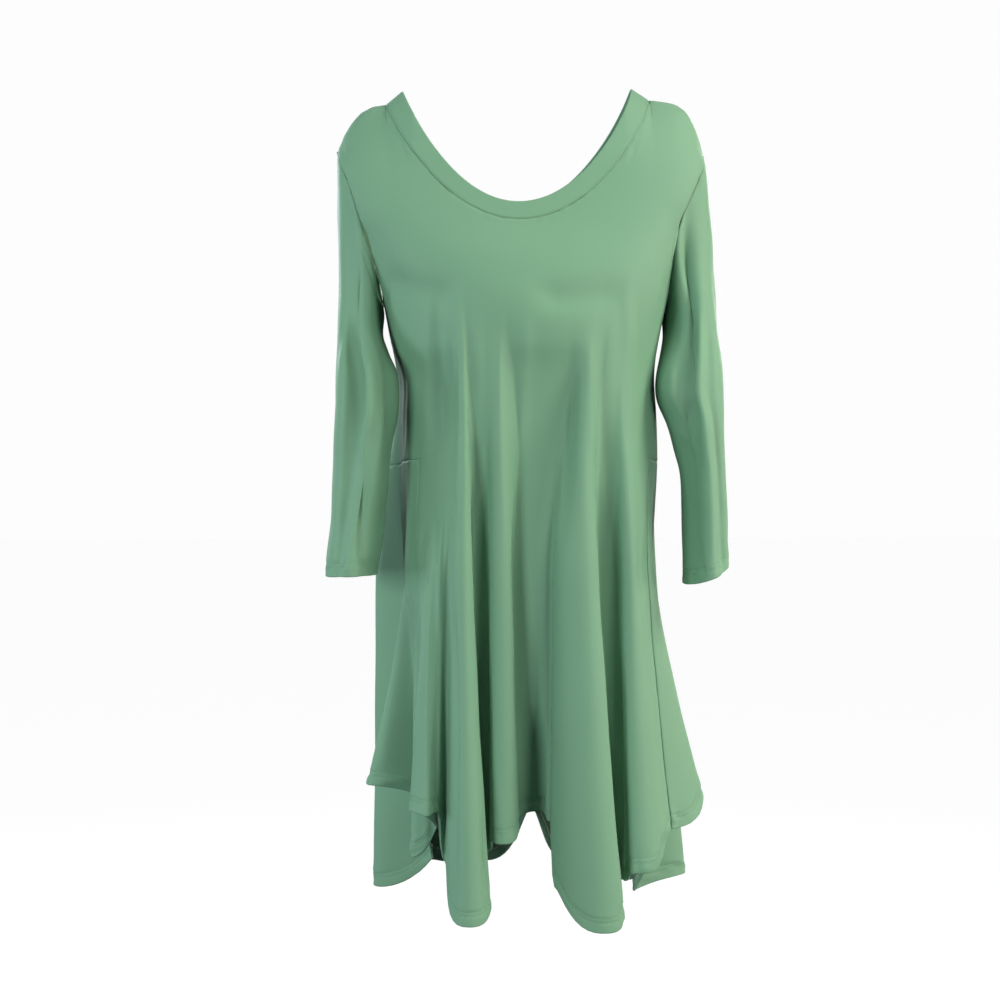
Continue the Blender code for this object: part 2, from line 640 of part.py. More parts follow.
def make_sleeve(side):
    """A tube from the armhole to the cuff."""
    around = 2 * SLEEVE_SIDES
    rows = spread(0.0, 1.0, SLEEVE_HEAD_ROWS)[:-1] + spread(1.0, 2.0, SLEEVE_ROWS)
    points, normals = {}, {}
    for col in range(around):
        angle = 360.0 * col / around
        for row, level in enumerate(rows):
            points[(col, row)] = sleeve_point(side, angle, level)
            normals[(col, row)] = sleeve_normal(side, angle, level)
    cells = []
    for col in range(around):
        for row in range(len(rows) - 1):
            cell = [(col % around, row), (col % around, row + 1),
                    ((col + 1) % around, row + 1), ((col + 1) % around, row)]
            cells.append(cell if side == "left" else cell[::-1])
    home = armhole_edge(side, "front", 1.0)
    return cloth_solid("sleeve_" + side, points, normals, cells, GREEN, home)


def make_neckband():
    """A ring of doubled cloth round the neck, meeting the body along its seam."""
    front, back = YOKE_SPANS["front"], YOKE_SPANS["back"]
    front_shares = spread(0.0, 1.0, (front.neck_b - front.neck_a) * STEPS["front"])
    back_shares = spread(1.0, 0.0, (back.neck_b - back.neck_a) * STEPS["back"])
    ring = [("front", share) for share in front_shares]
    ring += [("back", share) for share in back_shares[1:-1]]
    points, normals, cells = {}, {}, []
    for col, (half, share) in enumerate(ring):
        for row in range(BAND_ROWS + 1):
            height = 1.0 - row / BAND_ROWS
            points[(col, row)] = band_point(half, share, height)
            normals[(col, row)] = band_normal(half, share, height)
    for col in range(len(ring)):
        for row in range(BAND_ROWS):
            following = (col + 1) % len(ring)
            cells.append([(col, row), (col, row + 1), (following, row + 1), (following, row)])
    home = Vector((NECK_SEAM_X, 0.0, 0.0))
    return cloth_solid("neckband", points, normals, cells, BAND_GREEN, home)


def main():
    for old in list(bpy.data.objects):
        bpy.data.objects.remove(old, do_unlink=True)
    frame = bpy.data.objects.new("tunic", None)
    bpy.context.collection.objects.link(frame)
    pieces = [make_body_half("front"), make_body_half("back"), make_neckband()]
    pieces += make_side_panels()
    pieces += [make_sleeve(side) for side in SIDES]
    for piece in pieces:
        piece.parent = frame


main()
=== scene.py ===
"""Dresses a packed jersey tunic: thin cloth shells over its solids, with their folds, creases,
seams, turned-up hems, twin stitching and overlocked edges, on a plain pale stage.

Work is in millimetres until a mesh is made, and in metres from there on. +Z is up, the front
faces -Y and +X is to the viewer's right.
"""
import json
import math
from collections import namedtuple

import bpy
import numpy as np
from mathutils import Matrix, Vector, kdtree

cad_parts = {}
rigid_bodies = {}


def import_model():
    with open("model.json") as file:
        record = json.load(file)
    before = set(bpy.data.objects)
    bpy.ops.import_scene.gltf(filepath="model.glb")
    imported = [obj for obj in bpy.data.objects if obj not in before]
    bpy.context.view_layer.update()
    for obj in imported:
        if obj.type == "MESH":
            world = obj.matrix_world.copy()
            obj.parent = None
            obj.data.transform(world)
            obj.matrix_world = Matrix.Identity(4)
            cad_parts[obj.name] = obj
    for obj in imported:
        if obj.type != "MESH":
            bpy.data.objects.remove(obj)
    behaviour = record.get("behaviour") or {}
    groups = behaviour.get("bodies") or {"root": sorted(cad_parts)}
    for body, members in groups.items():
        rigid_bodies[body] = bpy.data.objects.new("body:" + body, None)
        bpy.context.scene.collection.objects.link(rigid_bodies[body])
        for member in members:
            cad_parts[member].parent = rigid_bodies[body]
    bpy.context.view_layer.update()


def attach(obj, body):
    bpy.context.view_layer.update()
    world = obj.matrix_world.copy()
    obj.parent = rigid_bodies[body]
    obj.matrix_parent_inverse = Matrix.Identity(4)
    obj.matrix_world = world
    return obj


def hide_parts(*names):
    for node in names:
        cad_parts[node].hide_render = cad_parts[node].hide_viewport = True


bl_info = {
    "name": "Jersey Tunic",
    "version": (1, 0, 0),
    "blender": (4, 5, 0),
    "location": "3D View > Sidebar > Tunic",
    "description": "Builds the cloth, sewing and stage of a jersey tunic top",
    "category": "Object",
}

for leftover in list(bpy.data.objects):
    bpy.data.objects.remove(leftover, do_unlink=True)
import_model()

MM = 0.001


def table(kind, *rows):
    """The rows of a table as named tuples."""
    return tuple(kind(*row) for row in rows)


# ---- the cut, in millimetres: the same named sizes as the solids ---------------------
UNDERARM_Z = -230.0
HIP_Z = -394.0
HIP_TILT = 6.0
ROUNDNESS = 2.3
SHOULDER_ROLL = 95.0
SHOULDER_SQUARE = (2.8, 4.6)
SHOULDER_SLOPE = 0.1
SHOULDER_TURN = 12.0
FLARE = 0.3                 # how much a fold curves outward on its way to the hem
HEM_HOLD = 1.6              # how long the hem keeps the height of the broader fold
# after these fold lines the hem keeps their own height (above 0) or the next one's (below 0)
HEM_HOLDS = {"side_seam_left": -4.0, "seam_right": 1.7, "trough_4": 3.0}
MID_Z = -512.0
FOLD_ENTRY = 60.0           # least height over which a fold grows out of the body
HEADING_STEP = 2.0          # degrees to each side that a heading is read over
FOLD_BREADTH = 0.42         # how far towards the next fold line a handle may reach
NECK_SEAM_Z = -141.0
NECK_SEAM_X = -12.0
BACK_NECK_Z = -120.0
NECK_CURVE = 1.2
BAND_WIDTH = 19.0
NECK_POINTS = ((-151.5, -3.0), (137.0, 6.0))
BAND_POINTS = ((-134.0, 12.0), (118.5, 18.0))
SHOULDER_TIPS = ((-204.0, -53.0), (198.5, -53.0))
PULL = 0.35                 # share of the yoke's columns that follow the armhole's edge
SLEEVE_LEAN = {"left": 0.0, "right": 0.15}
CREASE_END = 60.0
CREASE_FADE = 0.3
CREASE_FACING = 2.5         # how soon a crease starts where the cloth turns towards its side
# for each side: the axis that runs across it, and the axis and sign that it looks along
FACING = {"front": (0, 1, -1.0), "back": (0, 1, 1.0), "left": (1, 0, -1.0), "right": (1, 0, 1.0)}
CREASE_LEFT = 0.35          # how much of a sleeve's trough is left at its foot
DRIFT_STEP = 10.0
SEAT_DEPTH = 0.5            # fold lines in from the armhole, where the yoke's slope is read
GRID_STEP = 0.02
CUFF_Z = {"left": (-515.0, -513.0), "right": (-498.0, -524.0)}
SIDES = ("left", "right")

# Horizontal sections of the body without its folds.
Section = namedtuple("Section", "z half_width front back shift")
BODY = table(
    Section,
    (20, 190, 52, 50, -8),
    (-60, 188, 68, 66, -5),
    (-141, 178, 92, 84, -2),
    (-185, 164, 112, 92, 0),
    (-230, 152.5, 123, 98, 0.5),
    (-265, 146, 122, 94, 0),
    (-300, 138.5, 112, 88, 4),
    (-340, 139.5, 106, 86, 5.5),
    (-394, 140, 110, 96, 6),
    (-512, 142, 116, 112, 4),
    (-640, 150, 118, 118, 4),
    (-880, 160, 120, 124, 4),
)

# Armhole edge: the same curve bounds the body and starts the sleeve.
Armhole = namedtuple("Armhole", "z left right front back")
ARMHOLE = table(
    Armhole,
    (-53, -204, 198.5, 0, 0),
    (-70, -201, 195, 26, 26),
    (-98, -190, 182, 43, 42),
    (-125, -182, 170, 53, 50),
    (-150, -173, 161, 54, 50),
    (-180, -162, 158, 45, 44),
    (-205, -156, 156, 31, 31),
    (-222, -153, 154, 17, 17),
    (-230, -152, 153, 0, 0),
)

# Fold lines, once round the skirt. `angle` is the place on the body, 0 at the centre front
# and 90 at the viewer's right; the fold leaves the body at `start`, passes mid_x, mid_y
# and ends at the hem. `bow` is how far the crest or trough stays broad to each side at the
# hem (`mid_bow` at its middle), and `turn` is the compass heading of the cloth there.
Fold = namedtuple("Fold", "name angle start mid_x mid_y hem_x hem_y hem_z mid_bow bow turn")
FOLDS = table(
    Fold,
    ("side_seam_left", -90, -400, -131, 4, -102, 2, -828, 16, 8, -90),
    ("side_front_crest_left", -76, -380, -128, -36, -171, -40, -738, 13, 18, -90),
    ("side_front_trough_left", -70, -500, -124, -48, -106, -49, -752, 6, 5, -90),
    ("side_front_point_left", -65, -500, -120, -58, -124, -64, -811, 6, 9, -90),
    ("seam_left", -58, -420, -116, -68, -98, -79, -777, 8, 5, -80),
    ("edge_left", -52, -470, -110, -86, -126, -96, -756, 10, 9, -72),
    ("crease_left", -44, -450, -101, -103, -108, -113, -759, 8, 6, -12),
    ("roll_left", -39, -430, -93, -107, -97, -105, -757, 9, 6, 16),
    ("trough_1", -33, -400, -87, -107, -89, -86, -812, 5, 4, 0),
    ("flute_1", -26, -240, -71, -129, -65, -143, -866, 16, 26, 0),
    ("flute_1_edge", -23, -250, -61, -115, -43, -124, -850, 7, 10, 108),
    ("trough_2", -20, -240, -57, -96, -48.5, -80, -806, 6, 3, 0),
    ("flute_2_left", -15, -250, -43, -107, -42.5, -107, -786, 7, 7, -88),
    ("flute_2", -10.5, -250, -31, -119, -29, -117, -788, 8, 9, 0),
    ("flute_2_edge", -7, -290, -21, -110, -12, -104, -777, 6, 8, 104),
    ("trough_3", -4, -320, -17, -97, -12, -78, -768, 6, 5, 0),
    ("recess", 3, -320, 5, -100, 10, -80, -763, 10, 12, 0),
    ("trough_4", 8, -320, 19, -103, 20, -87, -771, 8, 6, 0),
    ("flute_3_side", 12, -310, 27, -121, 23, -119, -832, 9, 15, -55),
    ("flute_3", 22, -250, 55, -136, 74, -148, -873, 13, 20, 5),
    ("flute_3_edge", 28, -260, 68, -121, 93.5, -131, -861, 8, 10, 112),
    ("trough_5", 32, -250, 73, -98, 88.5, -82, -840, 6, 3, 0),
    ("flute_4_left", 39, -250, 94, -107, 95.5, -113, -828, 8, 7, -88),
    ("flute_4", 45, -250, 104, -116, 113, -124, -818, 12, 20, 0),
    ("seam_right", 60, -400, 126, -80, 149, -92, -779, 14, 18, 40),
    ("side_front_crest_right", 76, -380, 137, -38, 190, -45, -751, 12, 22, 90),
    ("side_seam_right", 90, -400, 140, 4, 124, 3, -866, 12, 8, 90),
    ("side_back_crest_right", 112, -330, 152, 44, 186, 42, -855, 16, 20, 90),
    ("back_seam_right", 130, -380, 118, 84, 128, 84, -872, 12, 12, 140),
    ("back_flute_1", 140, -260, 102, 118, 110, 138, -868, 14, 20, 170),
    ("back_trough_1", 150, -260, 78, 106, 88, 98, -842, 10, 7, 180),
    ("back_flute_2", 161, -260, 50, 125, 62, 146, -858, 14, 20, 180),
    ("back_trough_2", 177, -280, 6, 106, 15, 100, -790, 13, 13, 180),
    ("back_flute_3", -166, -260, -36, 126, -44, 148, -862, 15, 22, -180),
    ("back_trough_3", -154, -260, -68, 103, -76, 96, -850, 12, 8, -180),
    ("back_flute_4", -142, -260, -98, 119, -106, 138, -858, 15, 20, -170),
    ("back_seam_left", -128, -380, -122, 86, -122, 90, -862, 12, 12, -140),
    ("side_back_crest_left", -112, -250, -163, 46, -166, 46, -866, 18, 22, -90),
)
FOLD_AT = {fold.name: index for index, fold in enumerate(FOLDS)}

# Horizontal sections of a sleeve: its outer and inner side, front and back.
SleeveRing = namedtuple("SleeveRing", "z outer inner front back")
SLEEVE_RINGS = {
    "left": table(
        SleeveRing,
        (-262, -203.5, -153, -68, 32),
        (-280, -204, -147, -79, 24),
        (-300, -204.5, -139, -90, 17),
        (-335, -205, -137, -97, 11),
        (-375, -206.5, -144, -97, 8),
        (-430, -208, -150, -96, 6),
        (-480, -211.5, -155, -96, 6),
        (-514, -214.5, -160, -96, 6),
    ),
    "right": table(
        SleeveRing,
        (-262, 211, 151, -72, 28),
        (-300, 211.5, 141, -94, 12),
        (-325, 211, 141, -100, 5),
        (-352, 211, 152, -100, 5),
        (-380, 212, 160, -98, 5),
        (-404, 212.5, 167, -97, 5),
        (-440, 214, 168.5, -97, 5),
        (-514, 217, 170, -97, 5),
    ),
}

# Long troughs pressed into a sleeve: angle round the sleeve from the outer side (90 is
# the front, 180 the inner side), its half width in degrees and its greatest depth.
SleeveFold = namedtuple("SleeveFold", "angle spread depth top bottom")
SLEEVE_FOLDS = table(
    SleeveFold,
    (62, 16, 9, -215, -520),
    (118, 15, 6, -250, -400),
    (292, 18, 8, -240, -520),
)

# The columns of each half, in ring order: side seam, first neck point, second neck point,
# side seam. The back runs from the right side to the left one.
YokeSpan = namedtuple("YokeSpan", "start neck_a neck_b end first second")
YOKE_SPANS = {
    "front": YokeSpan(0, FOLD_AT["seam_left"], FOLD_AT["seam_right"],
                      FOLD_AT["side_seam_right"], 0, 1),
    "back": YokeSpan(FOLD_AT["side_seam_right"], FOLD_AT["back_seam_right"],
                     FOLD_AT["back_seam_left"], len(FOLDS), 1, 0),
}

# ---- creases: soft troughs (depth above 0) and ridges (below 0) ----------------------
# For each cloth and the side that its creases are seen from. a and b are a crease's ends on
# that side: across (x from the front or back, y from a side) and z. bend bows it sideways
# in the middle.
Crease = namedtuple("Crease", "a_across a_z b_across b_z bend width depth")
CREASES = {
    ("sleeve_left", "front"): table(
        # the long valley, a shallower one beside it, short folds at the underarm and cuff
        Crease,
        (-186, -120, -172, -540, 0, 12, 14),
        (-154, -110, -138, -450, 0, 9, 9),
        (-177, -165, -157, -226, -1.5, 1.8, 2.2),
        (-172, -163, -158, -214, 1.5, 2.5, -1.2),
        (-192, -455, -196, -538, 0, 6, -1.5),
        (-174, -460, -171, -538, 0, 5, 1.5),
    ),
    ("sleeve_left", "back"): table(
        Crease,
        (-178, -140, -184, -540, 2, 8, 4.5),
        (-198, -296, -160, -318, 3, 3.5, 1.3),
        (-194, -330, -158, -340, -3, 3, 0.9),
    ),
    ("sleeve_left", "left"): table(
        Crease,
        (-34, -130, -52, -470, 3, 7, 1.4),
    ),
    ("sleeve_right", "front"): table(
        # the valley from the shoulder, the low ridge beside it, the trough that goes on to the
        # cuff, a slanting fold at the elbow and short folds at the cuff
        Crease,
        (176, -100, 171, -380, 0, 9, 13),
        (163, -90, 161, -240, 0, 5, -2.5),
        (158, -200, 168, -560, 0, 12, 9),
        (131, -312, 170, -385, 1.5, 1.7, -1.6),
        (129, -318, 168, -391, 1.5, 1.7, 1.5),
        (207, -434, 205, -531, 0, 4, 1.5),
        (176, -466, 184, -524, 0, 3, 1.2),
    ),
    ("sleeve_right", "back"): table(
        Crease,
        (182, -130, 191, -520, -2, 8, 4.8),
        (200, -288, 164, -314, -3, 3.5, 1.4),
        (196, -322, 166, -338, 2, 3, 1),
    ),
    ("sleeve_right", "right"): table(
        Crease,
        (-28, -150, -50, -430, -3, 7, 1.3),
    ),
    ("body", "front"): table(
        # troughs from the armholes, under the bust and between the first ridges
        Crease,
        (-169, -127, -137, -236, 0, 13, 5),
        (-152, -206, -148, -257, 0, 4, 1.5),
        (-97, -203, -90, -414, 0, 7, 3),
        (-105, -203, -107, -404, 0, 5.5, -1.6),
        (-130, -196, -122, -403, 0, 6, 1.6),
        (-76, -199, -70, -373, 1, 5, -2.2),
        (-59, -280, -59, -420, 0, 7, 1.8),
        (-6, -229, -11, -404, 0, 8, -1.8),
        (-33, -229, -35, -373, 0, 10, 1.2),
        (60, -260, 64, -414, 0, 5, -2),
        (76, -250, 75, -430, 0, 8, 2.4),
        (99, -196, 107, -372, 0, 6, -2),
        (112, -216, 117, -310, 0, 2.5, 0.8),
        (-8, -222, 108, -212, 8, 15, 4.4),
        (-158, -196, -66, -222, 7, 14, 4.4),
        (170, -110, 142, -236, 0, 13, 3.5),
        # the skirt: the sharp edge of the first flute and the gaps between the others
        (-107, -500, -107, -850, 0, 2.5, -1.4),
        (-97, -500, -97, -850, 0, 6, 2.5),
        (-81, -520, -81, -880, 0, 4, 7),
        (-48, -540, -46, -880, 0, 4, 8),
        (4, -640, 5, -840, 0, 13, 6),
        (92, -580, 95, -900, 0, 4, 6),
    ),
    ("body", "back"): table(
        # the same kinds of fold, freely placed
        Crease,
        (160, -112, 128, -244, 0, 12, 4),
        (-162, -112, -124, -240, 0, 12, 4.5),
        (60, -196, 70, -410, 3, 7, 2.2),
        (82, -230, 92, -400, 2, 5, -1.6),
        (-48, -215, -58, -420, -2, 8, 2.4),
        (8, -180, 3, -400, 2, 9, 1.5),
        (-22, -240, -28, -390, 0, 5, -1.4),
        (-94, -250, -104, -410, 0, 5, 1.6),
        (106, -262, 109, -400, 0, 5, -1.6),
        (-74, -62, 66, -70, 6, 11, 1.5),
        (34, -318, -34, -334, 3, 5, 1),
    ),
    ("body", "left"): table(
        # below the armhole
        Crease,
        (-32, -240, -22, -400, 2, 6, 1.6),
        (42, -238, 34, -396, 2, 6, 2),
    ),
    ("body", "right"): table(
        # below the armhole
        Crease,
        (-30, -244, -16, -392, -2, 6, 1.7),
        (38, -250, 40, -410, -2, 6, 1.5),
    ),
}

# ---- sewing, in millimetres ----------------------------------------------------------
EDGE_STOPS = (0.15, 0.8, 1.7, 3.0, 5.0, 8.0)      # rows close to a seam
HEM_STOPS = (0.0, 0.8, 2.0, 4.0, 6.5, 8.5, 10.0, 11.5, 13.0, 14.0, 15.0, 16.2, 18.0, 21.0,
             26.0, 33.0, 42.0)                    # rows close to a hem
EDGE_SHARES = (0.006, 0.035, 0.075, 0.13, 0.21, 0.31)    # columns close to a seam
EDGE_CLEAR = 0.05                                 # between those and the even columns
TWIN_ROWS = (10.0, 14.0)
TWIN_DEPTH, TWIN_WIDTH = 0.4, 1.1
SEAM_ROLL, SEAM_REACH, HEM_REACH = 1.2, 6.0, 10.0   # how far out a seam or hem shapes cloth
# how strongly the sewing gathers each hem; the front's does most at its right end
HEM_PUCKERS = {"front": 0.8, "back": 0.9, "side_front_left": 2.6, "side_front_right": 2.4,
               "side_back_left": 1.2, "side_back_right": 2.2, "sleeve_left": 1.5,
               "sleeve_right": 0.9}
FRONT_END_PUCKER = 2.6
FRONT_END_X, FRONT_END_REACH = 85.0, 25.0
SEAM_PUCKER, FINE_PUCKER = 0.5, 0.7       # shares of the fine puckers beside seams and hems
HEM_HELD = 10.0                           # the puckers are highest this far above a hem
HEM_INSIDE = (1, 2, 3, 4, 6, 8, 10)       # rows of HEM_STOPS that the turned-up cloth follows
HEM_TURN = (40.0, 90.0, 140.0)            # degrees round the edge of a hem
LAYER_GAP = 1.35                          # from one layer of a hem to the other, in thicknesses
# unevenness of the cloth: how wide its swells are, and the seed of their draw
BODY_SWELL, SLEEVE_SWELL = (90.0, 3), (60.0, 8)
FINE_SWELL, BROAD_SWELL, BAND_SWELL = (11.0, 5), (24.0, 6), (14.0, 9)

BAND_COLUMNS = {"front": 150, "back": 110}
BAND_HEIGHTS = np.array((0.01, 0.04, 0.09, 0.16, 0.26, 0.4, 0.55, 0.7, 0.84, 0.94, 1.0))
BAND_LIFT = 0.2
BAND_SEAM_WIDTH = 1.1
BAND_PUCKER, BAND_PUCKER_REACH = 0.4, 5.0
BAND_FOLD = 0.75                          # radius of the folded edge, in thicknesses
BAND_TURN = (2.45, 1.57, 0.7)             # radians round the folded edge
BAND_STITCHED = -3                        # the column's point that the seam's stitches follow

STITCH_STOPS = np.array((0.1, 0.3, 0.5, 0.7, 0.9))        # points along one stitch
STITCH_ARCH = np.array((-0.25, 0.02, 0.1, 0.02, -0.25))   # and how high each one stands
STITCH_LIFT = 0.3                         # of the thread's radius
STITCH_SIDES = 5
OVERLOCK_RADIUS = 0.22
OVERLOCK_SIDES = 4
OVERLOCK_PITCH = 0.9
OVERLOCK_SWING = (0.4, -3.2)
OVERLOCK_LIFT = 0.12
THREAD_END = 0.55                         # how thick a thread still is where it enters the cloth

WALE_PITCH, COURSE_PITCH = 1.1, 0.8       # from one stitch of the knit to the next
TWIST_SHADE, PAPER_SHADE = 0.82, 0.06     # the darker tone of thread and of paper

SEWN = {"stitches": [], "overlock": []}     # lines left by the pieces for the sewing


# ---- small numeric tools -------------------------------------------------------------
def mix(a, b, t):
    return a + (b - a) * t


def smooth(t):
    t = np.clip(t, 0.0, 1.0)
    return t * t * (3.0 - 2.0 * t)


def hermite(p0, p1, m0, m1, t):
    """A curve from p0 to p1 that leaves along m0 and arrives along m1."""
    t2, t3 = t * t, t * t * t
    return ((2 * t3 - 3 * t2 + 1) * p0 + (t3 - 2 * t2 + t) * m0
            + (3 * t2 - 2 * t3) * p1 + (t3 - t2) * m1)


def stack(*parts):
    return np.stack(np.broadcast_arrays(*parts), axis=-1).astype(float)


def size_of(vectors):
    return np.linalg.norm(vectors, axis=-1)


def unit(vectors):
    return vectors / np.maximum(size_of(vectors), 1e-9)[..., None]


def read(rows, z, column):
    """A smooth reading of one column of a table whose rows run down the garment."""
    level = np.array([row.z for row in rows], float)
    value = np.array([getattr(row, column) for row in rows], float)
    last = len(rows) - 1
    above = np.maximum(np.arange(last + 1) - 1, 0)
    below = np.minimum(np.arange(last + 1) + 1, last)
    slope = (value[below] - value[above]) / (level[below] - level[above])
    z = np.clip(z, level[-1], level[0])
    k = np.clip(np.searchsorted(-level[1:], -z, side="left"), 0, last - 1)
    span = level[k + 1] - level[k]
    return hermite(value[k], value[k + 1], slope[k] * span, slope[k + 1] * span,
                   (z - level[k]) / span)


def raised(points, normals, height):
    """Points moved out along their normals."""
    return points + normals * height[..., None]


def unevenness(points, size, seed):
    """A smooth random height for each point, about -1 to 1, in swells `size` across."""
    draw = np.random.default_rng(seed)
    waves = 7
    height = np.zeros(points.shape[:-1])
    for _ in range(waves):
        heading = unit(draw.normal(size=3))
        length = size * draw.uniform(0.75, 1.5)
        height += np.sin(points @ heading * (2.0 * math.pi / length) + draw.uniform(0, 6.28))
    return height / math.sqrt(waves)


# ---- the body without folds ----------------------------------------------------------
def base_point(angle, z):
    """Points of the plain body section at heights z."""
    a = math.radians(angle)
    power = 2.0 / ROUNDNESS
    depth = read(BODY, z, "front" if math.cos(a) > 0 else "back")
    x = math.copysign(abs(math.sin(a)) ** power, math.sin(a)) * read(BODY, z, "half_width")
    y = -math.copysign(abs(math.cos(a)) ** power, math.cos(a)) * depth
    return stack(x + read(BODY, z, "shift"), y)


def base_heading(angle, z):
    """Compass heading of the plain section there, near `angle` itself."""
    ahead = base_point(angle + HEADING_STEP, z) - base_point(angle - HEADING_STEP, z)
    heading = np.degrees(np.arctan2(ahead[..., 1], ahead[..., 0]))
    return heading + 360.0 * np.round((angle - heading) / 360.0)


# ---- the skirt and its folds ---------------------------------------------------------
def fold_point(fold, z):
    """Where a fold line passes at heights z."""
    mid, hem = np.array((fold.mid_x, fold.mid_y)), np.array((fold.hem_x, fold.hem_y))
    mid_z = min(MID_Z, fold.start - FOLD_ENTRY)
    run = (hem - mid) * (1.0 - FLARE) / (fold.hem_z - mid_z)
    share = ((z - mid_z) / (fold.hem_z - mid_z))[..., None]
    lower = mid + (hem - mid) * (share * (1.0 - FLARE) + share * share * FLARE)
    origin = base_point(fold.angle, fold.start)
    drift = (base_point(fold.angle, fold.start + DRIFT_STEP) - origin) / DRIFT_STEP
    span = mid_z - fold.start
    entry = hermite(origin, mid, drift * span, run * span, ((z - fold.start) / span)[..., None])
    folded = np.where((z <= mid_z)[..., None], lower, entry)
    return np.where((z >= fold.start)[..., None], base_point(fold.angle, z), folded)


def fold_handles(index, z):
    """Tangent of the ring at a fold line, and its handle length to either side."""
    fold = FOLDS[index]
    before, after = FOLDS[index - 1], FOLDS[(index + 1) % len(FOLDS)]
    plain = base_point(fold.angle, z)
    reach_before = size_of(plain - base_point(before.angle, z)) / 3.0
    reach_after = size_of(base_point(after.angle, z) - plain) / 3.0
    below_mid = smooth((MID_Z - z) / (MID_Z - fold.hem_z))
    to_mid = smooth((fold.start - z) / max(FOLD_ENTRY, fold.start - MID_Z))
    bow = mix(fold.mid_bow, fold.bow, below_mid)
    heading = np.radians(mix(base_heading(fold.angle, z), fold.turn, to_mid))
    tangent = stack(np.cos(heading), np.sin(heading))
    return (fold_point(fold, z), tangent,
            mix(reach_before, bow, to_mid), mix(reach_after, bow, to_mid))


def hip_height(angle):
    """Height of the seam that starts the skirt."""
    return HIP_Z + HIP_TILT * math.cos(math.radians(angle))


def column_height(index, share, row):
    """Heights of rows of the skirt grid: 0 at the underarm, 1 at the hip, 2 at the hem."""
    fold, following = FOLDS[index], FOLDS[(index + 1) % len(FOLDS)]
    hold = HEM_HOLDS.get(fold.name, HEM_HOLD if fold.bow > following.bow else -HEM_HOLD)
    if hold > 0.0:
        eased = smooth(share ** hold)
    else:
        eased = 1.0 - smooth((1.0 - share) ** -hold)
    hip = mix(hip_height(fold.angle), hip_height(following.angle), eased)
    hem = mix(fold.hem_z, following.hem_z, eased)
    return np.where(row <= 1.0, mix(UNDERARM_Z, hip, row), mix(hip, hem, row - 1.0))


def ring_points(place, row):
    """A column of the body below the arms. `place` counts fold lines round the ring."""
    place %= len(FOLDS)
    index = int(place)
    share = place - index
    z = column_height(index, share, row)
    p0, t0, _, reach0 = fold_handles(index, z)
    p3, t3, reach3, _ = fold_handles((index + 1) % len(FOLDS), z)
    most = size_of(p3 - p0) * FOLD_BREADTH
    p1 = p0 + t0 * np.minimum(reach0, most)[..., None]
    p2 = p3 - t3 * np.minimum(reach3, most)[..., None]
    rest = 1.0 - share
    xy = (p0 * rest ** 3 + p1 * (3 * rest * rest * share)
          + p2 * (3 * rest * share * share) + p3 * share ** 3)
    return stack(xy[..., 0], xy[..., 1], z)


# ---- the yoke: from underarm to shoulder and neck ------------------------------------
def armhole_edge(side, half, rise):
    """Points of an armhole edge. rise is 0 at the underarm, 1 at the shoulder tip."""
    z = mix(UNDERARM_Z, ARMHOLE[0].z, (1.0 - np.cos(math.pi * rise)) / 2.0)
    y = read(ARMHOLE, z, half) * (-1.0 if half == "front" else 1.0)
    return stack(read(ARMHOLE, z, side), y, z)


def neck_line(share, points, low):
    """The scoop in front view, from the left shoulder (0) to the right one (1)."""
    side_x, side_z = points[0 if share < 0.5 else 1]
    angle = math.pi * (share - 0.5)
    x = NECK_SEAM_X + (side_x - NECK_SEAM_X) * abs(math.sin(angle))
    return x, side_z + (low - side_z) * abs(math.cos(angle)) ** (2.0 / NECK_CURVE)


def shoulder_line(x):
    """Height of the shoulder ridge over x; the shoulders fall away at their ends."""
    heights = []
    for side in (0, 1):
        (band_x, band_z), (neck_x, neck_z) = BAND_POINTS[side], NECK_POINTS[side]
        tip_x, tip_z = SHOULDER_TIPS[side]
        slope = (neck_z - band_z) / abs(neck_x - band_x)
        near = band_z + slope * np.maximum(-SHOULDER_TURN, np.abs(x) - abs(band_x))
        along = np.clip((np.abs(x) - abs(neck_x)) / (abs(tip_x) - abs(neck_x)), 0.0, 1.0)
        far = mix(neck_z, tip_z, mix(along ** SHOULDER_SQUARE[side], along, SHOULDER_SLOPE))
        heights.append(np.where(np.abs(x) <= abs(neck_x), near, far))
    return np.where(np.asarray(x) < NECK_SEAM_X, heights[0], heights[1])


def torso_depth(x, z, half):
    """How far the body stands before (or behind) the shoulder line at x and z."""
    level = np.clip(z, UNDERARM_Z, ARMHOLE[0].z)
    rim = read(ARMHOLE, level, half)
    centre = read(BODY, z, "shift")
    side = np.where(x < centre, read(ARMHOLE, level, "left"), read(ARMHOLE, level, "right"))
    across = np.clip(np.abs(x - centre) / np.abs(side - centre), 0.0, 1.0)
    bulge = (1.0 - across ** ROUNDNESS) ** (1.0 / ROUNDNESS)
    below = np.clip((shoulder_line(x) - z) / SHOULDER_ROLL, 0.0, 1.0)
    roll = np.sqrt(1.0 - (1.0 - below) ** 2)
    return rim + (read(BODY, z, half) - rim) * bulge * roll


def yoke_edge(half, place):
    """Where a column of the yoke meets the shoulder or neck seam (x, z)."""
    span = YOKE_SPANS[half]
    if place <= span.neck_a:
        share = (place - span.start) / (span.neck_a - span.start)
        x = mix(SHOULDER_TIPS[span.first][0], NECK_POINTS[span.first][0], share)
        return x, float(shoulder_line(x))
    if place >= span.neck_b:
        share = (place - span.neck_b) / (span.end - span.neck_b)
        x = mix(NECK_POINTS[span.second][0], SHOULDER_TIPS[span.second][0], share)
        return x, float(shoulder_line(x))
    share = (place - span.neck_a) / (span.neck_b - span.neck_a)
    if half == "back":
        return neck_line(1.0 - share, NECK_POINTS, BACK_NECK_Z)
    return neck_line(share, NECK_POINTS, NECK_SEAM_Z)


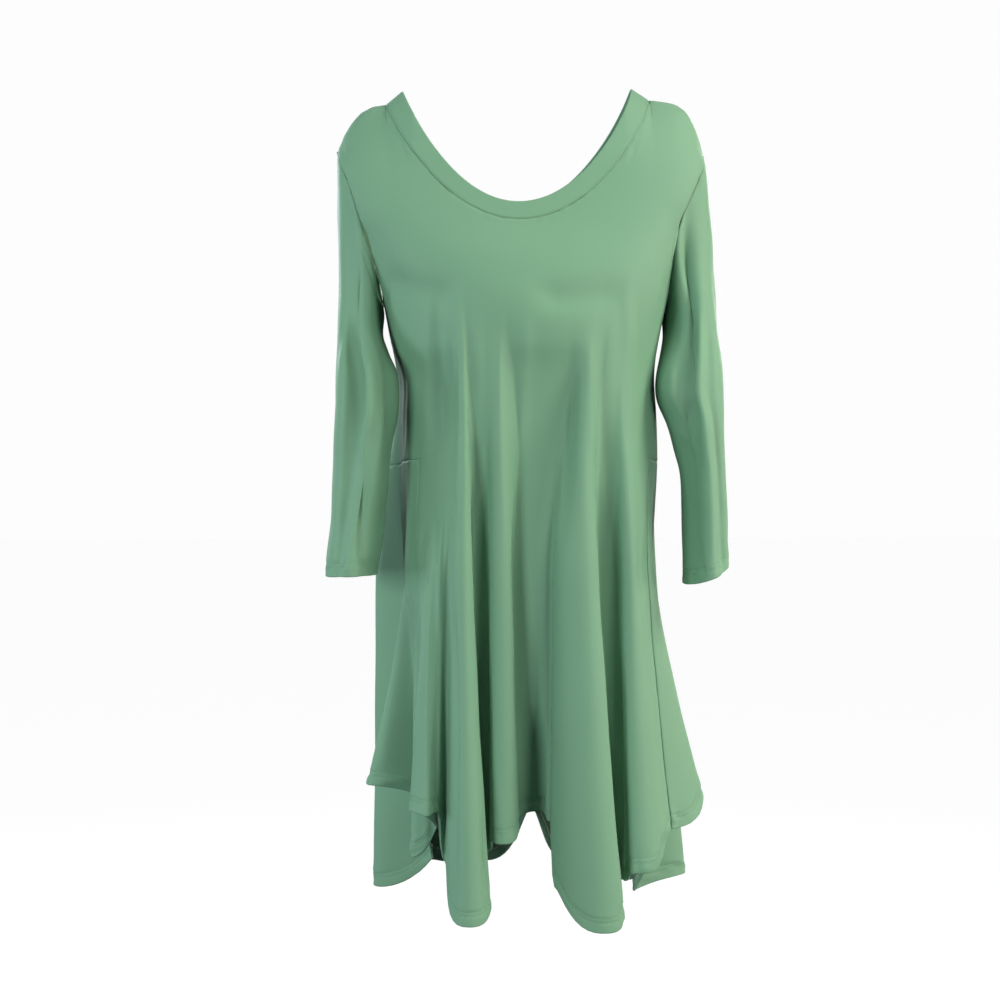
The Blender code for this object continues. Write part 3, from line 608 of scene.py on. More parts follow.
def on_torso(x, z, half):
    """Points of the yoke's surface over x and z."""
    y = torso_depth(x, z, half)
    return stack(x, -y if half == "front" else y, z)


def yoke_points(half, place, rise):
    """A column of the yoke; rise is 0 at the underarm and 1 at the shoulder or neck."""
    span = YOKE_SPANS[half]
    foot = ring_points(place, np.array(0.0))
    top_x, top_z = yoke_edge(half, place)
    share = (1.0 - np.cos(math.pi * rise)) / 2.0
    x = mix(foot[0], top_x, share)
    z = mix(foot[2], top_z, share)
    width = (span.end - span.start) * PULL
    for side, distance in ((span.first, place - span.start), (span.second, span.end - place)):
        pull = max(0.0, 1.0 - distance / width) ** 2
        low_x = armhole_edge(SIDES[side], half, np.array(0.0))[0]
        straight_x = mix(low_x, SHOULDER_TIPS[side][0], share)
        x = x + (armhole_edge(SIDES[side], half, rise)[..., 0] - straight_x) * pull
    return on_torso(x, z, half)


# ---- sleeves -------------------------------------------------------------------------
def sleeve_ring(side, angle, z):
    """A horizontal section: angle 0 is the outer side, 90 the front, 180 the inner side."""
    rows = SLEEVE_RINGS[side]
    outer, inner = read(rows, z, "outer"), read(rows, z, "inner")
    front, back = read(rows, z, "front"), read(rows, z, "back")
    a = math.radians(angle)
    return stack((outer + inner) / 2.0 + (outer - inner) / 2.0 * math.cos(a),
                 (front + back) / 2.0 + (front - back) / 2.0 * math.sin(a), z)


def sleeve_troughs(points, centre, angle):
    """Presses the long troughs of a sleeve towards its middle."""
    z = points[..., 2]
    depth = np.zeros(z.shape)
    for fold in SLEEVE_FOLDS:
        off = (angle - fold.angle + 180.0) % 360.0 - 180.0
        ends = (smooth((fold.top - z) / CREASE_END)
                * smooth((z - fold.bottom) / CREASE_END + CREASE_LEFT))
        depth += fold.depth * math.exp(-(off / fold.spread) ** 2) * ends
    towards = centre - points
    towards[..., 2] = 0.0
    return points + unit(towards) * depth[..., None]


def seat_shift(side, half, angle, rise, gap):
    """Sets the sleeve's edge off the armhole by about half the cloth and a gap."""
    span = YOKE_SPANS[half]
    at_start = SIDES[span.first] == side
    place = span.start if at_start else span.end
    inside = place + (SEAT_DEPTH if at_start else -SEAT_DEPTH)
    above, below = min(1.0, rise + GRID_STEP), max(0.0, rise - GRID_STEP)
    levels = np.array((below, rise, above))
    edge = armhole_edge(side, half, levels)
    along = unit(edge[2] - edge[0])
    near = yoke_points(half, inside, levels)
    off = edge[1] - near[1]
    off = unit(off - along * (off @ along))
    facing = np.cross(off, along)
    a = math.radians(angle)
    outward = np.array(((-1.0 if side == "left" else 1.0) * math.cos(a), -math.sin(a), 0.0))
    body_out = facing if facing @ (edge[1] - np.array((0.0, 0.0, edge[1][2]))) > 0 else -facing
    agree = float(body_out @ outward)
    away = unit(off * (1.0 + agree) + body_out * (1.0 - agree))
    return away * gap * (1.5 - 0.5 * agree)


def sleeve_points(side, angle, row, gap):
    """A column of a sleeve: 0 at the armhole, 1 at the first section and 2 at the cuff."""
    angle %= 360.0
    rows = SLEEVE_RINGS[side]
    half = "front" if angle <= 180.0 else "back"
    rise = 1.0 - angle / 180.0 if half == "front" else angle / 180.0 - 1.0
    inner_share = (1.0 - math.cos(math.radians(angle))) / 2.0
    first_z = np.array(float(rows[0].z))
    start = armhole_edge(side, half, np.array(rise)) + seat_shift(side, half, angle, rise, gap)
    end = sleeve_ring(side, angle, first_z)
    reach = size_of(end - start)
    fall = unit(sleeve_ring(side, angle, first_z - DRIFT_STEP) - end) * reach
    leave = np.array((SLEEVE_LEAN[side] * reach * (1.0 - inner_share), 0.0, -reach))
    head = hermite(start, end, leave, fall, np.minimum(row, 1.0)[..., None])
    middle = stack((rows[0].outer + rows[0].inner) / 2.0,
                   (rows[0].front + rows[0].back) / 2.0, head[..., 2])
    outer_z, inner_z = CUFF_Z[side]
    z = mix(float(first_z), mix(outer_z, inner_z, math.sqrt(inner_share)), row - 1.0)
    arm = sleeve_ring(side, angle, z)
    centre = (arm + sleeve_ring(side, angle + 180.0, z)) / 2.0
    on_head = (row <= 1.0)[..., None]
    return sleeve_troughs(np.where(on_head, head, arm), np.where(on_head, middle, centre), angle)


# ---- neckband ------------------------------------------------------------------------
def band_points(half, share, height):
    """share runs from the left shoulder to the right one, height from seam to neck edge."""
    low = NECK_SEAM_Z if half == "front" else BACK_NECK_Z
    seam = neck_line(share, NECK_POINTS, low)
    edge = neck_line(share, BAND_POINTS, low + BAND_WIDTH)
    return on_torso(mix(seam[0], edge[0], height), mix(seam[1], edge[1], height), half)


# ---- spacing of columns and rows -----------------------------------------------------
def travelled(points):
    """Distance along a line of points, from its first one."""
    return np.concatenate(([0.0], np.cumsum(size_of(np.diff(points, axis=0)))))


def to_hem(grid):
    """Distance of each point of a grid [column, row] from the foot of its column."""
    return np.stack([travelled(column[::-1])[::-1] for column in grid])


def read_line(values, walked, stops):
    """Values along a line, read at distances from its first point."""
    return np.stack([np.interp(stops, walked, values[:, k]) for k in range(3)], axis=1)


def respaced(points, head, tail, count):
    """Points along a line: at the distances in head and tail from its ends, and `count`
    even steps between them."""
    walked = travelled(points)
    length = walked[-1]
    first, last = np.array(head), length - np.array(tail)[::-1]
    even = np.linspace(first[-1], last[0], count + 1)[1:-1]
    return read_line(points, walked, np.concatenate((first, even, last)))


def places_between(start, end, steps):
    """Columns from one seam to another, closer together near both."""
    near_start = [start + share for share in EDGE_SHARES]
    near_end = [end - share for share in reversed(EDGE_SHARES)]
    inner = [k / steps for k in range(int(start * steps), int(end * steps) + 1)
             if near_start[-1] + EDGE_CLEAR < k / steps < near_end[0] - EDGE_CLEAR]
    return near_start + inner + near_end


# ---- cloth surfaces ------------------------------------------------------------------
def grid_normals(grid, closed=False):
    """Unit normals of a grid of points [column, row]: down crossed with across."""
    if closed:
        wide = np.concatenate((grid[-1:], grid, grid[:1]))
        across = np.gradient(wide, axis=0)[1:-1]
    else:
        across = np.gradient(grid, axis=0)
    return unit(np.cross(np.gradient(grid, axis=1), across))


def crease_height(points, normals, cloth):
    """Height of the creases on these points."""
    height = np.zeros(points.shape[:-1])
    for (piece, seen), creases in CREASES.items():
        if piece != cloth:
            continue
        across, outward, sign = FACING[seen]
        towards = smooth(normals[..., outward] * sign * CREASE_FACING)
        for crease in creases:
            start = np.array((crease.a_across, crease.a_z), float)
            run = np.array((crease.b_across, crease.b_z), float) - start
            length = math.hypot(*run)
            flat = points[..., (across, 2)] - start
            along = flat @ run / length ** 2
            off = (flat[..., 0] * run[1] - flat[..., 1] * run[0]) / length
            off = off - crease.bend * 4.0 * along * (1.0 - along)
            ends = smooth(np.minimum(along, 1.0 - along) / CREASE_FADE)
            height -= crease.depth * np.exp(-(off / crease.width) ** 2) * ends * towards
    return height


def seam_distances(points, seam):
    """Distance from each point to the nearest point of its seams."""
    tree = kdtree.KDTree(len(seam))
    for index, point in enumerate(seam):
        tree.insert(point, index)
    tree.balance()
    flat = points.reshape(-1, 3)
    near = np.array([tree.find(point)[2] for point in flat])
    return near.reshape(points.shape[:-1])


def sewn_relief(points, seam, hem_distance, name, settings):
    """Height of rolled seams, stitched grooves and the puckers beside them."""
    fine = unevenness(points, *FINE_SWELL)
    broad = unevenness(points, *BROAD_SWELL)
    near = seam_distances(points, seam)
    pucker = settings.pucker / MM
    height = -settings.seam_depth / MM * np.exp(-(near / SEAM_ROLL) ** 2)
    height += pucker * SEAM_PUCKER * fine * np.exp(-(near / SEAM_REACH) ** 2)
    for row in TWIN_ROWS:
        height -= TWIN_DEPTH * np.exp(-((hem_distance - row) / TWIN_WIDTH) ** 2)
    gathered = HEM_PUCKERS[name]
    if name == "front":
        at_end = smooth((points[..., 0] - FRONT_END_X) / FRONT_END_REACH)
        gathered = mix(gathered, FRONT_END_PUCKER, at_end)
    held = np.exp(-((hem_distance - HEM_HELD) / HEM_REACH) ** 2)
    return height + pucker * gathered * (fine * FINE_PUCKER + broad) * held


def with_hem(grid, normals, layer_gap):
    """The grid with rows that carry the cloth round the hem edge and up inside it."""
    edge, above = grid[:, -1], grid[:, -2]
    out = normals[:, -1]
    down = unit(edge - above)
    down = unit(down - out * np.sum(down * out, axis=-1, keepdims=True))
    radius = layer_gap / 2.0
    rows = []
    for degrees in HEM_TURN:
        a = math.radians(degrees)
        rows.append(edge + down * radius * math.sin(a) - out * radius * (1.0 - math.cos(a)))
    for stop in HEM_INSIDE:
        rows.append(grid[:, -1 - stop] - normals[:, -1 - stop] * layer_gap)
    return np.concatenate((grid, np.stack(rows, axis=1)), axis=1)


# ---- meshes --------------------------------------------------------------------------
def vertex_normals(points, cells):
    """Unit normals of a net of four-cornered cells."""
    corners = points[cells]
    facing = np.cross(corners[:, 2] - corners[:, 0], corners[:, 3] - corners[:, 1])
    normals = np.zeros(points.shape)
    for k in range(4):
        np.add.at(normals, cells[:, k], facing)
    return unit(normals)


def grid_cells(columns, rows, wanted=None, closed=False):
    """Cells of a grid of columns by rows, facing out: all, or where wanted(column, row)."""
    cells = []
    for col in range(columns if closed else columns - 1):
        right = (col + 1) % columns
        for row in range(rows - 1):
            if wanted is None or wanted(col, row):
                cells.append((col * rows + row, col * rows + row + 1,
                              right * rows + row + 1, right * rows + row))
    return np.array(cells)


def cloth_shell(name, grid, cells, thickness, material, flip=False):
    """A thin closed shell round a grid of points, with a UV map in metres of cloth."""
    columns, rows = grid.shape[:2]
    across = travelled(grid[:, rows // 2])
    down = travelled(grid[columns // 2])
    flat = stack(np.repeat(across, rows), np.tile(down, columns)) * MM
    points = grid.reshape(-1, 3)
    if flip:
        cells = cells[:, ::-1]
    used, compact = np.unique(cells, return_inverse=True)
    cells = compact.reshape(cells.shape)
    points, flat = points[used], flat[used]
    normals = vertex_normals(points, cells)
    count = len(points)
    outer = points + normals * thickness / 2.0
    inner = points - normals * thickness / 2.0
    edges = np.concatenate([np.stack((cells[:, k], cells[:, (k + 1) % 4]), axis=1)
                            for k in range(4)])
    forward = edges[:, 0] * count + edges[:, 1]
    backward = edges[:, 1] * count + edges[:, 0]
    rim = edges[~np.isin(forward, backward)]
    faces = np.concatenate((
        cells,
        cells[:, ::-1] + count,
        np.stack((rim[:, 1], rim[:, 0], rim[:, 0] + count, rim[:, 1] + count), axis=1),
    ))
    return mesh_object(name, np.concatenate((outer, inner)), faces.tolist(), material,
                       np.concatenate((flat, flat)))


def linked_object(name, data):
    """A new object in the scene."""
    thing = bpy.data.objects.new(name, data)
    bpy.context.collection.objects.link(thing)
    return thing


def mesh_object(name, points, faces, material, flat=None):
    """A smooth-shaded object from points in millimetres."""
    data = bpy.data.meshes.new(name)
    data.from_pydata((points * MM).tolist(), [], faces)
    data.validate()
    data.shade_smooth()
    if flat is not None:
        layer = data.uv_layers.new(name="cloth")
        corner = np.zeros(len(data.loops), dtype=np.int32)
        data.loops.foreach_get("vertex_index", corner)
        layer.data.foreach_set("uv", flat[corner].astype(np.float32).ravel())
    data.materials.append(material)
    return linked_object(name, data)


def thread_tubes(name, lines, radius, sides, material):
    """Thin tubes along lines of points (millimetres), joined into one object."""
    points, faces, start = [], [], 0
    turn = np.arange(sides) * (2.0 * math.pi / sides)
    for line, fall in lines:
        along = unit(np.gradient(line, axis=0))
        side = unit(np.cross(along, fall))
        up = np.cross(side, along)
        count = len(line)
        taper = np.ones(count)
        taper[0] = taper[-1] = THREAD_END
        ring = (line[:, None] + radius * taper[:, None, None]
                * (side[:, None] * np.cos(turn)[:, None] + up[:, None] * np.sin(turn)[:, None]))
        points.append(ring.reshape(-1, 3))
        for k in range(count - 1):
            for j in range(sides):
                a, b = start + k * sides + j, start + k * sides + (j + 1) % sides
                faces.append((a, b, b + sides, a + sides))
        faces.append(tuple(start + j for j in reversed(range(sides))))
        faces.append(tuple(start + (count - 1) * sides + j for j in range(sides)))
        start += count * sides
    return mesh_object(name, np.concatenate(points), faces, material)


# ---- materials -----------------------------------------------------------------------
def linear(code):
    """An sRGB hex colour as linear red, green and blue."""
    channels = [int(code[k:k + 2], 16) / 255.0 for k in (1, 3, 5)]
    return [c / 12.92 if c <= 0.04045 else ((c + 0.055) / 1.055) ** 2.4 for c in channels]


def add_node(tree, kind, settings=None, inputs=None):
    """Adds a node; an input is a value, or another node's output socket to link."""
    node = tree.nodes.new(kind)
    for key, value in (settings or {}).items():
        setattr(node, key, value)
    for key, value in (inputs or {}).items():
        if isinstance(value, bpy.types.NodeSocket):
            tree.links.new(value, node.inputs[key])
        else:
            node.inputs[key].default_value = value
    return node


def new_material(name):
    """A node material with its tree and its shader."""
    material = bpy.data.materials.new(name)
    material.use_nodes = True
    tree = material.node_tree
    return material, tree, tree.nodes["Principled BSDF"]


def band_scale(pitch):
    """Scale of a wave texture whose bands lie this many millimetres apart."""
    return 2.0 * math.pi / (20.0 * pitch * MM)


def viscose_jersey(name, colour, deeper):
    """Viscose and elastane single jersey, piece dyed and calendered: fine wales run down a
    smooth face, which catches a soft, broad sheen on each crest and keeps a deep, clear
    green in the folds. The real wales are 0.6 mm apart; here 1.1 mm, so that they show."""
    material, tree, shader = new_material(name)
    shader.inputs["Roughness"].default_value = 0.62
    shader.inputs["IOR"].default_value = 1.47
    shader.inputs["Specular IOR Level"].default_value = 0.38
    shader.inputs["Sheen Weight"].default_value = 0.22
    shader.inputs["Sheen Roughness"].default_value = 0.42
    shader.inputs["Sheen Tint"].default_value = (0.78, 0.95, 0.84, 1.0)
    flat = add_node(tree, "ShaderNodeUVMap", {"uv_map": "cloth"}).outputs["UV"]
    place = add_node(tree, "ShaderNodeTexCoord").outputs["Object"]
    dye = add_node(tree, "ShaderNodeTexNoise", inputs={
        "Vector": place, "Scale": 9.0, "Detail": 3.0, "Roughness": 0.55})
    fibre = add_node(tree, "ShaderNodeTexNoise", inputs={
        "Vector": flat, "Scale": 520.0, "Detail": 2.0, "Roughness": 0.6})
    shade = add_node(tree, "ShaderNodeMath", {"operation": "MULTIPLY_ADD"}, {
        0: fibre.outputs["Fac"], 1: 0.45, 2: 0.0})
    total = add_node(tree, "ShaderNodeMath", {"operation": "MULTIPLY_ADD"}, {
        0: dye.outputs["Fac"], 1: 0.55, 2: shade.outputs["Value"]})
    blend = add_node(tree, "ShaderNodeMix", {"data_type": "RGBA"}, {
        "Factor": total.outputs["Value"]})
    blend.inputs[6].default_value = (*deeper, 1.0)
    blend.inputs[7].default_value = (*colour, 1.0)
    tree.links.new(blend.outputs[2], shader.inputs["Base Color"])
    wales = add_node(tree, "ShaderNodeTexWave", {"bands_direction": "X"}, {
        "Vector": flat, "Scale": band_scale(WALE_PITCH), "Distortion": 0.0})
    courses = add_node(tree, "ShaderNodeTexWave", {"bands_direction": "Y"}, {
        "Vector": flat, "Scale": band_scale(COURSE_PITCH), "Distortion": 0.0})
    knit = add_node(tree, "ShaderNodeMath", {"operation": "MULTIPLY_ADD"}, {
        0: courses.outputs["Fac"], 1: 0.35, 2: wales.outputs["Fac"]})
    bump = add_node(tree, "ShaderNodeBump", inputs={
        "Strength": 0.22, "Distance": 0.12 * MM, "Height": knit.outputs["Value"]})
    tree.links.new(bump.outputs["Normal"], shader.inputs["Normal"])
    return material


def spun_thread(name, colour):
    """Spun polyester sewing thread: matt, a little lighter than the cloth, with a fine
    twist that breaks up its highlight."""
    material, tree, shader = new_material(name)
    shader.inputs["Roughness"].default_value = 0.7
    shader.inputs["Sheen Weight"].default_value = 0.2
    place = add_node(tree, "ShaderNodeTexCoord").outputs["Object"]
    twist = add_node(tree, "ShaderNodeTexNoise", inputs={
        "Vector": place, "Scale": 1800.0, "Detail": 2.0})
    tone = add_node(tree, "ShaderNodeMix", {"data_type": "RGBA"}, {
        "Factor": twist.outputs["Fac"]})
    tone.inputs[6].default_value = (*[c * TWIST_SHADE for c in colour], 1.0)
    tone.inputs[7].default_value = (*colour, 1.0)
    tree.links.new(tone.outputs[2], shader.inputs["Base Color"])
    bump = add_node(tree, "ShaderNodeBump", inputs={
        "Strength": 0.3, "Distance": 0.1 * MM, "Height": twist.outputs["Fac"]})
    tree.links.new(bump.outputs["Normal"], shader.inputs["Normal"])
    return material


def matt_paper(name, colour):
    """Seamless background paper: rolled, pale and without gloss. It is lit from behind, so
    it stays almost white to its far edge."""
    material, _, shader = new_material(name)
    shader.inputs["Base Color"].default_value = (*[c * PAPER_SHADE for c in colour], 1.0)
    shader.inputs["Emission Color"].default_value = (*colour, 1.0)
    shader.inputs["Emission Strength"].default_value = 1.0
    shader.inputs["Roughness"].default_value = 0.95
    shader.inputs["Specular IOR Level"].default_value = 0.1
    return material


def material_once(name, maker, *colours):
    """The material of this name, made the first time that it is asked for."""
    return bpy.data.materials.get(name) or maker(name, *colours)


def jersey(settings, name="viscose_jersey"):
    return material_once(name, viscose_jersey, settings.jersey_colour, settings.jersey_deep)


# ---- settings ------------------------------------------------------------------------
def sized(name, description, default, low, high):
    return bpy.props.FloatProperty(
        name=name, description=description, default=default, min=low, max=high, precision=5,
        subtype="DISTANCE", unit="LENGTH")


def coloured(name, description, code):
    return bpy.props.FloatVectorProperty(
        name=name, description=description, default=linear(code), size=3, min=0.0, max=1.0,
        subtype="COLOR")


def amount(name, description, default, high):
    return bpy.props.FloatProperty(
        name=name, description=description, default=default, min=0.0, max=high)


class TunicCloth(bpy.types.PropertyGroup):
    """Sizes and colours of the cloth and its sewing."""
    thickness: sized("Cloth thickness", "Thickness of the jersey", 0.0009, 0.0003, 0.003)
    seam_depth: sized("Seam depth", "How far the cloth rolls in at a seam", 0.0007, 0.0, 0.004)
    pucker: sized("Pucker", "Height of the puckers beside the sewing", 0.00045, 0.0, 0.003)
    swell: sized("Swell", "Height of the cloth's broad unevenness", 0.0005, 0.0, 0.003)
    stitch_length: sized("Stitch length", "Length of one stitch of the hems", 0.003, 0.001, 0.008)
    thread: sized("Thread thickness", "Thickness of the sewing thread", 0.0005, 0.0002, 0.001)
    jersey_colour: coloured("Jersey", "Lighter tone of the jersey", "#739f82")
    jersey_deep: coloured("Jersey, deeper", "Deeper tone of the jersey", "#6b9778")
    thread_colour: coloured("Thread", "Sewing thread", "#6f9f7d")
    overlock_colour: coloured("Overlock thread", "Thread over the raw edges inside", "#dfe6e0")


class TunicStage(bpy.types.PropertyGroup):
    """The camera, lights and floor."""
    camera_distance: sized("Camera distance", "From the tunic's middle to the camera",
                           1.8, 0.5, 8.0)
    camera_turn: bpy.props.FloatProperty(
        name="Camera turn", description="How far the camera stands round to the viewer's left",
        default=math.radians(3.0), subtype="ANGLE", unit="ROTATION")
    floor_height: sized("Floor height", "Height of the floor", -1.4, -10.0, 0.0)
    paper_colour: coloured("Floor", "Background paper", "#fbfbfb")
    right_power: amount("Right lights", "Watts of the softboxes at the right", 138.0, 500.0)
    left_power: amount("Left lights", "Watts of the softboxes at the left", 74.0, 500.0)
    top_power: amount("Top light", "Watts of the softbox overhead", 16.0, 500.0)
    behind_power: amount("Back lights", "Watts of the softboxes behind the tunic", 64.0, 500.0)
    sky: amount("Room light", "Strength of the light from all round", 0.08, 3.0)


# ---- pieces --------------------------------------------------------------------------
FlatCut = namedtuple("FlatCut", "width length area")
FRONT_STEPS = 10        # columns from one fold line to the next
BACK_STEPS = 14
DENSE = 160             # rows from which each column is respaced
YOKE_STEPS, WAIST_STEPS, SKIRT_STEPS = 30, 24, 64
EASED_ROWS = 6          # rows to each side of the underarm level that are eased into each other
EASED_PASSES = 10
SLEEVE_COLUMNS = 144
SLEEVE_STEPS = 96
SLEEVE_GAP = 0.5        # between the sleeve's edge and the armhole, in thicknesses


def body_grid(half, start, end, with_top):
    """Points of a panel [column, row], its hip row, and its rows' distance to the hem."""
    steps = FRONT_STEPS if half == "front" else BACK_STEPS
    span = YOKE_SPANS[half]
    if with_top:
        places = (places_between(span.start, span.neck_a, steps)
                  + places_between(span.neck_a, span.neck_b, steps)
                  + places_between(span.neck_b, span.end, steps))
    else:
        places = places_between(start, end, steps)
    grid, hip = [], 0
    dense = np.linspace(0.0, 1.0, DENSE)
    for place in places:
        skirt = respaced(ring_points(place, 1.0 + dense), EDGE_STOPS, HEM_STOPS, SKIRT_STEPS)
        if with_top:
            yoke = yoke_points(half, place, 1.0 - dense)
            yoke = respaced(yoke, EDGE_STOPS, (0.0,), YOKE_STEPS)
            waist = respaced(ring_points(place, dense), (0.0,), EDGE_STOPS, WAIST_STEPS)
            hip = len(yoke) + len(waist) - 1
            skirt = np.concatenate((yoke[:-1], waist, skirt))
        grid.append(skirt)
    grid = np.stack(grid)
    if with_top:
        level = hip - len(waist)
        top = len(EDGE_STOPS) + 1
        near = slice(top, level + EASED_ROWS + 1)
        above = slice(top - 1, level + EASED_ROWS)
        below = slice(top + 1, level + EASED_ROWS + 2)
        for _ in range(EASED_PASSES):
            eased = (grid[:, above] + grid[:, near] * 2.0 + grid[:, below]) / 4.0
            grid[1:-1, near] = eased[1:-1]
    return np.array(places), grid, hip


def creased(grid, facing, cloth, swell, settings):
    """Gives a grid its creases and broad unevenness; `facing` finds its normals."""
    normals = facing(grid)
    relief = crease_height(grid, normals, cloth)
    relief += settings.swell / MM * unevenness(grid, *swell)
    return raised(grid, normals, relief)


def sewn(grid, facing, seam, name, settings):
    """Gives a grid its rolled seams and puckers, and returns it with its normals."""
    relief = sewn_relief(grid, seam, to_hem(grid), name, settings)
    grid = raised(grid, facing(grid), relief)
    return grid, facing(grid)


def dress_panel(name, half, start, end, settings, with_top=False):
    """One cut piece of the body: its form, creases, sewing, hem and shell."""
    places, grid, hip = body_grid(half, start, end, with_top)
    span = YOKE_SPANS[half]
    grid = creased(grid, grid_normals, "body", BODY_SWELL, settings)
    in_skirt = (places > span.neck_a) & (places < span.neck_b) if with_top else places > -1
    seam = [grid[0, hip:], grid[-1, hip:], grid[in_skirt][0, hip:], grid[in_skirt][-1, hip:]]
    if with_top:
        seam = [grid[0, :hip], grid[-1, :hip], grid[:, 0],
                grid[~in_skirt][:, hip - 1], seam[2], seam[3]]
    else:
        seam.append(grid[:, 0])
    grid, normals = sewn(grid, grid_normals, np.concatenate(seam), name, settings)
    leave_hem_lines(grid[in_skirt], normals[in_skirt])
    thickness = settings.thickness / MM
    whole = with_hem(grid, normals, thickness * LAYER_GAP)

    def wanted(col, row):
        return not with_top or row < hip - 1 or (in_skirt[col] and in_skirt[col + 1])

    cells = grid_cells(*whole.shape[:2], wanted)
    piece = cloth_shell(name + "_cloth", whole, cells, thickness, jersey(settings))
    return finish_piece(piece, name)


def finish_piece(piece, node):
    """Attaches a cloth piece to the root body and hides its solid."""
    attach(piece, "root")
    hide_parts(node)
    return piece


def leave_hem_lines(grid, normals):
    """Notes where the twin rows and the overlocked edge of a hem run."""
    stops = list(HEM_STOPS)
    for row in TWIN_ROWS:
        k = -1 - stops.index(row)
        SEWN["stitches"].append((grid[:, k], normals[:, k]))
    k = -1 - HEM_INSIDE[-1]
    SEWN["overlock"].append((grid[:, k], -normals[:, k]))


def make_body(settings):
    for half in ("front", "back"):
        span = YOKE_SPANS[half]
        dress_panel(half, half, span.start, span.end, settings, with_top=True)


def make_side_panels(settings):
    right = FOLD_AT["side_seam_right"]
    dress_panel("side_front_left", "front", 0, FOLD_AT["seam_left"], settings)
    dress_panel("side_front_right", "front", FOLD_AT["seam_right"], right, settings)
    dress_panel("side_back_right", "back", right, FOLD_AT["back_seam_right"], settings)
    dress_panel("side_back_left", "back", FOLD_AT["back_seam_left"], len(FOLDS), settings)


def make_sleeve(side, settings):
    """A tube from the armhole to the cuff, in its creases."""
    name = "sleeve_" + side
    thickness = settings.thickness / MM
    gap = thickness * SLEEVE_GAP
    dense = np.linspace(0.0, 2.0, DENSE * 2)
    grid = np.stack([
        respaced(sleeve_points(side, 360.0 * k / SLEEVE_COLUMNS, dense, gap),
                 EDGE_STOPS, HEM_STOPS, SLEEVE_STEPS)
        for k in range(SLEEVE_COLUMNS)])
    sign = 1.0 if side == "left" else -1.0

    def facing(points):
        return grid_normals(points, closed=True) * sign

    grid = creased(grid, facing, name, SLEEVE_SWELL, settings)
    grid, normals = sewn(grid, facing, grid[:, 0], name, settings)
    leave_hem_lines(np.concatenate((grid, grid[:1])), np.concatenate((normals, normals[:1])))
    whole = with_hem(grid, normals, thickness * LAYER_GAP)
    cells = grid_cells(*whole.shape[:2], closed=True)
    piece = cloth_shell(name + "_cloth", whole, cells, thickness, jersey(settings),
                        flip=side == "right")
    return finish_piece(piece, name)


def make_neckband(settings):
    """A strip folded in two along the neck edge, both raw edges in the seam."""
    thickness = settings.thickness / MM
    front = [("front", share) for share in np.linspace(0.0, 1.0, BAND_COLUMNS["front"])]
    back = [("back", share) for share in np.linspace(1.0, 0.0, BAND_COLUMNS["back"])[1:-1]]
    outer = np.stack([band_points(half, share, BAND_HEIGHTS[::-1])
                      for half, share in front + back])
    normals = grid_normals(outer, closed=True)
    distance = to_hem(outer)
    depth = settings.seam_depth / MM
    relief = BAND_LIFT - depth * np.exp(-(distance / BAND_SEAM_WIDTH) ** 2)
    relief += (settings.pucker / MM * BAND_PUCKER * unevenness(outer, *BAND_SWELL)
               * np.exp(-distance / BAND_PUCKER_REACH))
    outer = raised(outer, normals, relief)
    normals = grid_normals(outer, closed=True)
    SEWN["stitches"].append(tuple(
        np.concatenate((values[:, BAND_STITCHED], values[:1, BAND_STITCHED]))
        for values in (outer, normals)))
    edge, out = outer[:, 0], normals[:, 0]
    up = unit(edge - outer[:, 1])
    radius = thickness * BAND_FOLD
    inside = outer[:, ::-1] - normals[:, ::-1] * radius * 2.0
    turn = [edge + up * radius * math.sin(a) - out * radius * (1.0 - math.cos(a))
            for a in BAND_TURN]
    whole = np.concatenate((inside, np.stack(turn, axis=1), outer), axis=1)
    cells = grid_cells(*whole.shape[:2], closed=True)
    material = jersey(settings, "folded_viscose_jersey")
    piece = cloth_shell("neckband_cloth", whole, cells, thickness, material)
    return finish_piece(piece, "neckband")


# ---- sewing --------------------------------------------------------------------------
def sewn_lines(kind):
    """Each line left for this kind of sewing: points, outward directions, distances."""
    if not SEWN[kind]:
        raise RuntimeError("build the cloth pieces before their sewing")
    return [(points, normals, travelled(points)) for points, normals in SEWN[kind]]


def make_stitching(settings):
    """Twin rows of short stitches round the hems, and the row in the neck seam."""
    pitch = settings.stitch_length / MM
    radius = settings.thread / MM / 2.0
    lift = settings.thickness / MM / 2.0 + radius * STITCH_LIFT
    lines = []
    for points, normals, walked in sewn_lines("stitches"):
        count = max(1, int(walked[-1] / pitch))
        step = walked[-1] / count
        for k in range(count):
            stops = (k + STITCH_STOPS) * step
            line = read_line(points, walked, stops)
            out = unit(read_line(normals, walked, stops))
            lines.append((raised(line, out, lift + STITCH_ARCH), out))
    material = material_once("spun_polyester_thread", spun_thread, settings.thread_colour)
    piece = thread_tubes("stitching", lines, radius, STITCH_SIDES, material)
    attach(piece, "root")
    return piece


def make_overlock(settings):
    """A zigzag of thread over the raw edge inside each hem."""
    thickness = settings.thickness / MM
    drop = thickness * LAYER_GAP + thickness / 2.0 + OVERLOCK_LIFT
    lines = []
    for points, inward, walked in sewn_lines("overlock"):
        count = max(4, int(walked[-1] / OVERLOCK_PITCH))
        stops = np.linspace(0.0, walked[-1], count)
        line = read_line(points, walked, stops)
        out = unit(read_line(inward, walked, stops))
        across = np.cross(unit(np.gradient(line, axis=0)), out)
        swing = np.where(np.arange(count) % 2 == 0, *OVERLOCK_SWING)
        lines.append((line + out * drop + across * swing[:, None], out))
    material = material_once("overlock_thread", spun_thread, settings.overlock_colour)
    piece = thread_tubes("overlock", lines, OVERLOCK_RADIUS, OVERLOCK_SIDES, material)
    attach(piece, "root")
    return piece


